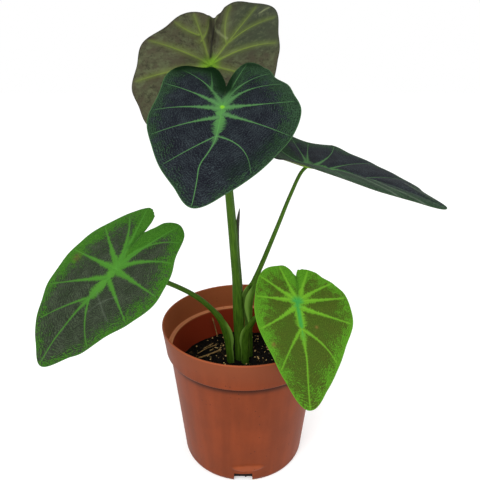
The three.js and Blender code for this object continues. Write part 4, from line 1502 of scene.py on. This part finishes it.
def upper_finish(
    name, patch, green, vein, hub, colours, halo=1.0, trail=0.3, reach=22, core_reach=4.0, soft=0.0,
    ragged=1.0, glow=1.0,
):
    """Upper face of a blade: dark patches with fine curved lines, feathered veins and a green border.

    Patch and green are pairs of a darker and a lighter colour, and vein has those of weak and strong veins.
    The halo is how wide the green runs beside a vein, up to the reach from the stalk, in millimetres. It
    keeps the trail's width further out, and has the strong vein's colour up to the core's reach. Soft thins
    out the dark patches, ragged breaks up their edges, and glow is how clearly the veins show.
    """
    finish = Finish(name, Specular_IOR_Level=0.04)
    distance, fade, feather = leaf_marks(finish)
    u, v, ring = finish.parts(finish.place("flat"))
    edge = finish.attribute("edge")
    inset = finish.attribute("inset")
    mark = finish.attribute("mark")
    plane = finish.joined(u, v, 0.0)
    cloud = finish.noise(plane, 0.10, detail=4, roughness=0.6)
    blot = finish.noise(plane, 0.42, detail=4, roughness=0.7)
    grain = finish.noise(plane, 1.6, detail=3, roughness=0.7)
    stipple = finish.noise(plane, 0.95, detail=2, roughness=0.6)
    net = finish.cells(plane, 0.8, "DISTANCE_TO_EDGE").fall(0.02, 0.17)
    wander = finish.noise(plane, 0.15, detail=3)
    ripple = finish.maths("SINE", ring * 3.9 + wander * 30)
    lines = ripple.rise(0.20, 0.95) * grain.rise(0.38, 0.62)
    from_hub = (u * u + v * v) ** 0.5
    near_hub = from_hub.fall(2, 13)
    within = 0.16 + 0.84 * from_hub.fall(0.3 * reach, 2.0 * reach)

    spikes = feather.rise(0.36, 0.64)
    stout = 3.0 * fade ** 1.5 * within + 1.6 * fade.rise(0.68, 0.82) + near_hub
    width = (trail + halo * stout) * (0.70 + 0.60 * spikes)
    share = distance / width
    glow_share = finish.maths("EXPONENT", share * share * -1)
    rag = ((blot - 0.5) * 5.0 + (stipple - 0.5) * 4.0 - (lines - 0.3) * 1.6) * ragged + (cloud - 0.5) * 7
    border = (edge * (0.24 - 0.10 * soft) + rag).rise(-0.9, 1.1)
    dark = border * (1 - 0.25 * soft) + border * (cloud - 0.5) * soft

    patch_tone = (0.50 * lines + 0.25 * net + 0.50 * grain + 0.9 * (cloud - 0.5)).rise(0.15, 1.10)
    patch_colour = finish.mix(patch_tone, patch[0], patch[1])
    green_tone = (0.45 * blot + 0.35 * grain + 0.40 * lines + 0.30 * net + 0.3 * cloud).rise(0.42, 1.10)
    green_colour = finish.mix(green_tone, green[0], green[1])
    strong = fade.rise(0.70, 0.86).at_least(from_hub.fall(2, 6)) * distance.fall(core_reach, 2 * core_reach)
    vein_colour = finish.mix(strong, vein[0], vein[1])
    beside = finish.mix(glow_share * 0.85 * glow, green[1], vein_colour)
    colour = finish.mix(dark, green_colour, patch_colour)
    colour = finish.mix(glow_share.rise(0.12, 0.85) * (0.50 + 0.50 * within), colour, beside)
    core = 0.08 + 0.20 * fade
    line = distance.fall(core * 0.7, core * 1.8) * fade.rise(0.06, 0.40)
    colour = finish.mix(line * glow, colour, vein_colour)
    colour = finish.mix(from_hub.fall(0.6, 2.2), colour, hub)
    colour = finish.mix(inset.fall(0.10, 0.7) * 0.6, colour, vein[0])
    colour = finish.mix(finish.attribute("spot"), colour, colours.spot)
    # Painted shade where a mark is below 0, and pale streaks that are partly painted sheen where it is above
    # 0
    colour = finish.mix(mark * -0.95, colour, colours.leaf_shade)
    colour = finish.mix(mark, colour, colours.leaf_pale_streak_and_sheen)
    height = 0.30 * lines + 0.5 * grain - 0.9 * line + 0.3 * blot
    return finish.surface(colour, 0.58 + 0.14 * grain, height, 0.00016)


def lower_finish(name, base, mottle, cool, vein, hub, streaks=1.0):
    """Lower face of a blade: dull and mottled, with raised paler veins and a dark line at the margin."""
    finish = Finish(name, Specular_IOR_Level=0.10)
    distance, fade, feather = leaf_marks(finish)
    u, v = finish.parts(finish.place("flat"))[:2]
    plane = finish.joined(u, v, 0.0)
    inset = finish.attribute("inset")
    pleats = finish.attribute("pleats")
    mark = finish.attribute("mark")
    cloud = finish.noise(plane, 0.07, detail=4, roughness=0.62)
    blot = finish.noise(finish.joined(u, v, 7.0), 0.17, detail=5, roughness=0.65)
    grain = finish.noise(plane, 1.1, detail=4, roughness=0.65)
    from_hub = (u * u + v * v) ** 0.5
    turn = finish.maths("ARCTAN2", u, v)
    along = finish.joined(turn * 9, from_hub * 0.16, abs(u) * 0.05)
    brushed = finish.noise(along, 1.5, detail=5, roughness=0.7)
    tone = (0.45 * cloud + 0.35 * blot + 0.20 * grain).rise(0.40, 0.60)
    colour = finish.mix(tone, base, mottle)
    lobe = u.rise(2, 22) * v.fall(-14, 6)
    colour = finish.mix(lobe * (0.45 + 0.9 * cloud), colour, cool)
    dusky = brushed.rise(0.48, 0.64) * blot.rise(0.36, 0.54) * (1 - 0.6 * lobe)
    colour = finish.mix(dusky * 0.7 * streaks, colour, tinted(base, 0.62))
    pale = brushed.fall(0.36, 0.50) * cloud.rise(0.40, 0.6)
    colour = finish.mix(pale * 0.5 * streaks, colour, tinted(mottle, 1.18))
    width = (1.4 + 4.2 * fade) * (0.45 + 1.1 * feather)
    share = distance / width
    beside = finish.maths("EXPONENT", share * share * -1)
    colour = finish.mix(beside * 0.42, colour, vein)
    core = 0.22 + 0.50 * fade
    line = distance.fall(core * 0.7, core * 1.7) * fade.rise(0.04, 0.35)
    colour = finish.mix(line * 0.8, colour, vein)
    colour = finish.mix(from_hub.fall(2.0, 11.0) * (0.45 + 0.8 * feather), colour, hub)
    # Painted shade: darker in the folds of the pleats
    folded = finish.maths("SINE", u * 2.6 + 4 * blot).rise(-0.4, 0.8)
    colour = finish.mix(pleats * (0.25 + 0.30 * folded), colour, tinted(base, 0.5))
    # Painted shade where a mark is below 0, and pale streaks that are partly painted sheen where it is above
    # 0
    colour = finish.mix(mark * -1, colour, tinted(base, 0.40))
    colour = finish.mix(mark, colour, tinted(mottle, 1.9))
    colour = finish.mix(inset.fall(0.2, 0.7) * 0.7, colour, tinted(base, 0.5))
    height = 0.5 * blot + 0.5 * grain
    return finish.surface(colour, 0.62, height, 0.00018)


class AddBlades(bpy.types.Operator):
    """Grows the five blades with their veins, borders and undersides"""

    bl_idname = "plant.add_blades"
    bl_label = "Add blades"

    def execute(self, context):
        c = context.scene.plant_colours
        sizes = context.scene.plant_leaf
        dark = upper_finish(
            "dark_upper_face", (c.dark_patch, c.dark_lines), (c.dark_border, c.dark_green),
            (c.dark_fine_vein, c.dark_vein), c.dark_hub, c, halo=1.2, trail=0.25, reach=18,
        )
        green = upper_finish(
            "green_upper_face", (c.green_patch, c.green_lines), (c.green_border, c.green_base),
            (c.green_fine_vein, c.green_vein), c.green_vein, c, halo=1.35, trail=0.6, reach=26,
            ragged=1.6, soft=0.2, glow=0.8,
        )
        bright = upper_finish(
            "bright_upper_face", (c.bright_patch, c.bright_lines), (c.bright_border, c.bright_base),
            (c.bright_fine_vein, c.bright_vein), c.bright_vein, c, halo=0.85, trail=0.6, core_reach=1.0,
            soft=0.4, glow=0.9,
        )
        olive = lower_finish(
            "olive_lower_face", c.under, c.under_mottle, c.under_cool, c.under_vein, c.under_hub
        )
        pale = lower_finish(
            "pale_lower_face", c.pale_under, c.pale_mottle, c.pale_under, c.pale_vein, c.pale_vein,
            streaks=0.3,
        )
        looks = {
            "back": ("blade_underside", dark, olive),
            "front": ("blade_dark", dark, olive),
            "right": ("blade_dark", dark, olive),
            "left": ("blade_green", green, pale),
            "low": ("blade_bright", bright, pale),
        }
        for leaf in LEAVES:
            slot, upper, lower = looks[leaf["name"]]
            piece = blade(leaf, sizes)
            dress(piece, upper, lower)
            settle(piece, slot, "blade_" + leaf["name"])
        return {"FINISHED"}


# Stalks


def stalk_outline(radius, sheath, open_share, wing, sizes):
    """Cross-section of a stalk, with how near each point is to a margin of the sheath."""
    if not sheath:
        angles = np.linspace(0, 2 * math.pi, sizes.outer + sizes.inner, endpoint=False)
        return radius * round_points(angles), np.zeros(len(angles))
    gap = math.radians(sheath["opening"])
    inner_radius = min(sheath["inner"], radius - SHEATH_WALL)
    t = np.linspace(0, 1, sizes.outer)
    outer = radius * round_points(gap + t * 2 * (math.pi - gap))
    near_outer = np.maximum(0, 1 - 8 * np.minimum(t, 1 - t))
    s = np.linspace(0, 1, sizes.inner)
    channel = inner_radius * round_points(-gap - s * 2 * (math.pi - gap))
    closed = radius * round_points(0.8 * gap * (2 * s - 1))
    near_inner = np.maximum(0, 1 - 4 * np.minimum(s, 1 - s))
    inner = closed + (channel - closed) * open_share
    outline = np.vstack([outer, inner])
    near = np.concatenate([near_outer, near_inner])
    outline[:, 0] += wing * near
    return outline, near * open_share


def stalk_sections(route, ways, radii, sheath, opens, sizes):
    """Sections of a stalk up its route, and for each point its height and nearness to a margin."""
    side = unit(np.array([*opens, 0.0]))
    shares = np.linspace(0, 1, len(route))
    sections = []
    marks = []
    for centre, way, share in zip(route, ways, shares):
        z = centre[2]
        open_share = 1 - ease(sheath["closing"], sheath["closed"], z) if sheath else 0
        above = ease(0, 0.5, share)
        if sheath:
            above = ease(sheath["closing"], sheath["closed"] + SHEATH_TAPER, z)
        lower = radii[0] + (radii[1] - radii[0]) * above
        radius = lower + (radii[2] - lower) * ease(TAPER_START, 1, share)
        across = unit(side - way * (side @ way))
        beside = np.cross(way, across)
        rise = ease(sheath["wing_foot"], sheath["closing"] - WING_RISE, z) if sheath else 0
        wing = sheath["wing"] * open_share * rise if sheath else 0
        outline, near = stalk_outline(radius, sheath, open_share, wing, sizes)
        sections.append(centre + outline[:, :1] * across + outline[:, 1:] * beside)
        marks.append(near)
    return np.array(sections), np.array(marks)


def clip_to_blade(sections, ways, leaf):
    """Draws what would stand through a blade back along the stalk to just inside its lower face."""
    out = leaf_axes(leaf)[2]
    above = (sections - np.array(leaf["attach"])) @ out + 0.35
    back = np.maximum(above, 0) / (ways @ out)[:, None]
    close = (ways @ out)[:, None] > 0.2
    return sections - (back * close)[..., None] * ways[:, None]


def stalk(spec, sizes):
    """One stalk from the corm to its blade."""
    leaf = next(one for one in LEAVES if one["name"] == spec["leaf"])
    attach = np.array(leaf["attach"], float)
    last = np.array(spec["route"][-1], float)
    beyond = attach + 3.0 * unit(attach - last)
    route, ways = smooth_route([*spec["route"], attach, beyond], sizes.steps)
    sections, near = stalk_sections(route, ways, spec["radii"], spec["sheath"], spec["opens"], sizes)
    sections = clip_to_blade(sections, ways, leaf)
    piece, i, j = loft("stem_" + spec["leaf"], sections)
    along = np.linspace(0, BARK_LENGTH, len(route))
    turn = np.linspace(0, 2 * math.pi, sections.shape[1], endpoint=False)
    keep(piece, near=near[i, j], bark=np.column_stack([round_points(turn[j]), along[i]]))
    weld(piece)
    smooth(piece, 50)
    return piece


class AddStalks(bpy.types.Operator):
    """Grows the five stalks, four of them with an open sheath at the foot"""

    bl_idname = "plant.add_stalks"
    bl_label = "Add stalks"

    def execute(self, context):
        sizes = context.scene.plant_stalk
        finish = stalk_finish(context.scene.plant_colours)
        for spec in STALKS:
            piece = stalk(spec, sizes)
            dress(piece, finish)
            settle(piece, "stalk_green", "stalk_" + spec["leaf"])
        return {"FINISHED"}


def stalk_finish(colours):
    """Smooth waxy stalk: fine streaks, pale sheath margins, darker where it meets the soil."""
    finish = Finish("waxy_stalk", Specular_IOR_Level=0.14)
    bark = finish.place("bark")
    near = finish.attribute("near")
    z = finish.parts(finish.place())[2]
    streak = finish.noise(finish.scaled(bark, (2.2, 2.2, 0.03)), 2.4, detail=4, roughness=0.6)
    fine = finish.noise(finish.scaled(bark, (9.0, 9.0, 0.12)), 2.0, detail=3)
    tone = (0.65 * streak + 0.35 * fine).rise(0.34, 0.62)
    colour = finish.mix(tone, colours.stalk_dark, colours.stalk)
    colour = finish.mix(near.rise(0.0, 0.7) * 0.85, colour, colours.sheath)
    base = z.fall(0.074, 0.090)
    colour = finish.mix(base * 0.55, colour, tinted(colours.stalk_dark, 0.8))
    top = z.rise(0.150, 0.300)
    colour = finish.mix(top * 0.35, colour, tinted(colours.stalk, 1.1))
    height = 0.7 * fine + 0.3 * streak
    return finish.surface(colour, 0.55 + 0.15 * fine, height, 0.00012)


# New leaf


class AddNewLeaf(bpy.types.Operator):
    """Rolls the new leaf into a spike with its edge wound round it"""

    bl_idname = "plant.add_new_leaf"
    bl_label = "Add new leaf"

    def execute(self, context):
        sizes = context.scene.plant_stalk
        route, ways = smooth_route(NEW_LEAF_ROUTE, NEW_LEAF_STEPS)
        shares = np.linspace(0, 1, len(route))
        length = np.linalg.norm(np.diff(route, axis=0), axis=1).sum()
        from_tip = (1 - shares) * length
        radii = NEW_LEAF_RADIUS * (1 - np.exp(-(from_tip + 0.8) / NEW_LEAF_POINT))
        t = np.linspace(0, 1, 36, endpoint=False)
        spiral = 1 - 0.2 * t
        angles = 2 * math.pi * t[None, :] + sizes.twist * shares[:, None]
        sections = round_sections(route, ways, (0.0, -1.0, 0.0), angles, radii[:, None] * spiral)
        piece, i, j = loft("rolled_leaf", sections)
        keep(piece, share=shares[i], roll=t[j])
        weld(piece)
        smooth(piece, 60)
        dress(piece, new_leaf_finish(context.scene.plant_colours))
        settle(piece, "new_leaf_roll", "new_leaf")
        return {"FINISHED"}


def new_leaf_finish(colours):
    """A rolled leaf: green below, dark towards its tip, paler at its wound edge."""
    finish = Finish("rolled_leaf", Specular_IOR_Level=0.3)
    share = finish.attribute("share")
    roll = finish.attribute("roll")
    veins = finish.noise(finish.joined(roll * 9, share * 4, 0.0), 1.6, detail=3)
    colour = finish.mix(share.rise(0.45, 0.85), colours.stalk, colours.roll_tip)
    colour = finish.mix(veins.rise(0.4, 0.7) * 0.35, colour, colours.dark_green)
    colour = finish.mix(roll.fall(0.0, 0.07) * 0.6, colour, colours.under_vein)
    return finish.surface(colour, 0.42, veins, 0.00015)


# Stage


class SetStage(bpy.types.Operator):
    """Sets the camera at the photograph's view, the pale floor and the soft lights"""

    bl_idname = "plant.set_stage"
    bl_label = "Set stage"

    def execute(self, context):
        stage = context.scene.plant_stage
        tilt = (math.pi / 2 - stage.dip, 0, stage.turn)
        bpy.ops.object.camera_add(location=stage.camera, rotation=tilt)
        camera = bpy.context.object
        camera.data.lens = stage.lens
        camera.data.sensor_width = 36
        camera.data.clip_start = 0.01
        context.scene.camera = camera
        self.area_light("key_light", (-0.3, -0.85, 0.95), stage.key, 0.7)
        self.area_light("fill_light", (0.9, -0.5, 0.6), stage.fill, 0.9)
        self.surroundings(context, stage.sky)
        deselect()
        bpy.ops.mesh.primitive_plane_add(size=8, location=(0, 0, -0.0001))
        floor = named("floor")
        bpy.ops.object.transform_apply(location=True)
        finish = Finish(
            "pale_floor", Specular_IOR_Level=0.0, Roughness=0.9, Emission_Color=(1, 1, 1, 1),
            Emission_Strength=stage.glow,
        )
        grain = finish.noise(finish.place(), 3.0)
        colour = finish.mix(grain, (0.86, 0.86, 0.86), (0.87, 0.87, 0.87))
        dress(floor, finish.set(Base_Color=colour))
        context.scene.view_settings.view_transform = "Standard"
        return {"FINISHED"}

    def area_light(self, name, place, power, size):
        deselect()
        way = Vector((0, 0, 0.16)) - Vector(place)
        turn = way.to_track_quat("-Z", "Y").to_euler()
        bpy.ops.object.light_add(type="AREA", location=place, rotation=turn)
        light = bpy.context.object
        light.name = name
        light.data.energy = power
        light.data.size = size

    def surroundings(self, context, strength):
        world = bpy.data.worlds.new("white_room")
        world.use_nodes = True
        sky = world.node_tree.nodes["Background"]
        sky.inputs["Color"].default_value = (1, 1, 1, 1)
        sky.inputs["Strength"].default_value = strength
        context.scene.world = world


# Sidebar


class PlantPanel(bpy.types.Panel):
    """Lists the steps and their sizes"""

    bl_idname = "VIEW3D_PT_plant"
    bl_label = "Potted elephant ear"
    bl_space_type = "VIEW_3D"
    bl_region_type = "UI"
    bl_category = "Plant"

    def draw(self, context):
        for operator in OPERATORS:
            self.layout.operator(operator.bl_idname)
        for setting in SETTINGS:
            box = self.layout.box()
            group = getattr(context.scene, setting)
            box.label(text=SETTINGS[setting].__doc__)
            for name in SETTINGS[setting].__annotations__:
                box.prop(group, name)


SETTINGS = {
    "plant_pot": PotSizes,
    "plant_soil": SoilSizes,
    "plant_leaf": LeafSizes,
    "plant_stalk": StalkSizes,
    "plant_stage": StageSizes,
    "plant_colours": PlantColours,
}
OPERATORS = [SetStage, AddPot, AddSoil, AddCorm, AddBlades, AddStalks, AddNewLeaf]


def register():
    for one in [*SETTINGS.values(), *OPERATORS, PlantPanel]:
        bpy.utils.register_class(one)
    for name, group in SETTINGS.items():
        setattr(bpy.types.Scene, name, PointerProperty(type=group))


def unregister():
    for name in SETTINGS:
        delattr(bpy.types.Scene, name)
    for one in reversed([*SETTINGS.values(), *OPERATORS, PlantPanel]):
        bpy.utils.unregister_class(one)


def main():
    register()
    bpy.ops.plant.set_stage()
    bpy.ops.plant.add_pot()
    bpy.ops.plant.add_soil()
    bpy.ops.plant.add_corm()
    bpy.ops.plant.add_blades()
    bpy.ops.plant.add_stalks()
    bpy.ops.plant.add_new_leaf()


if __name__ == "__main__":
    main()
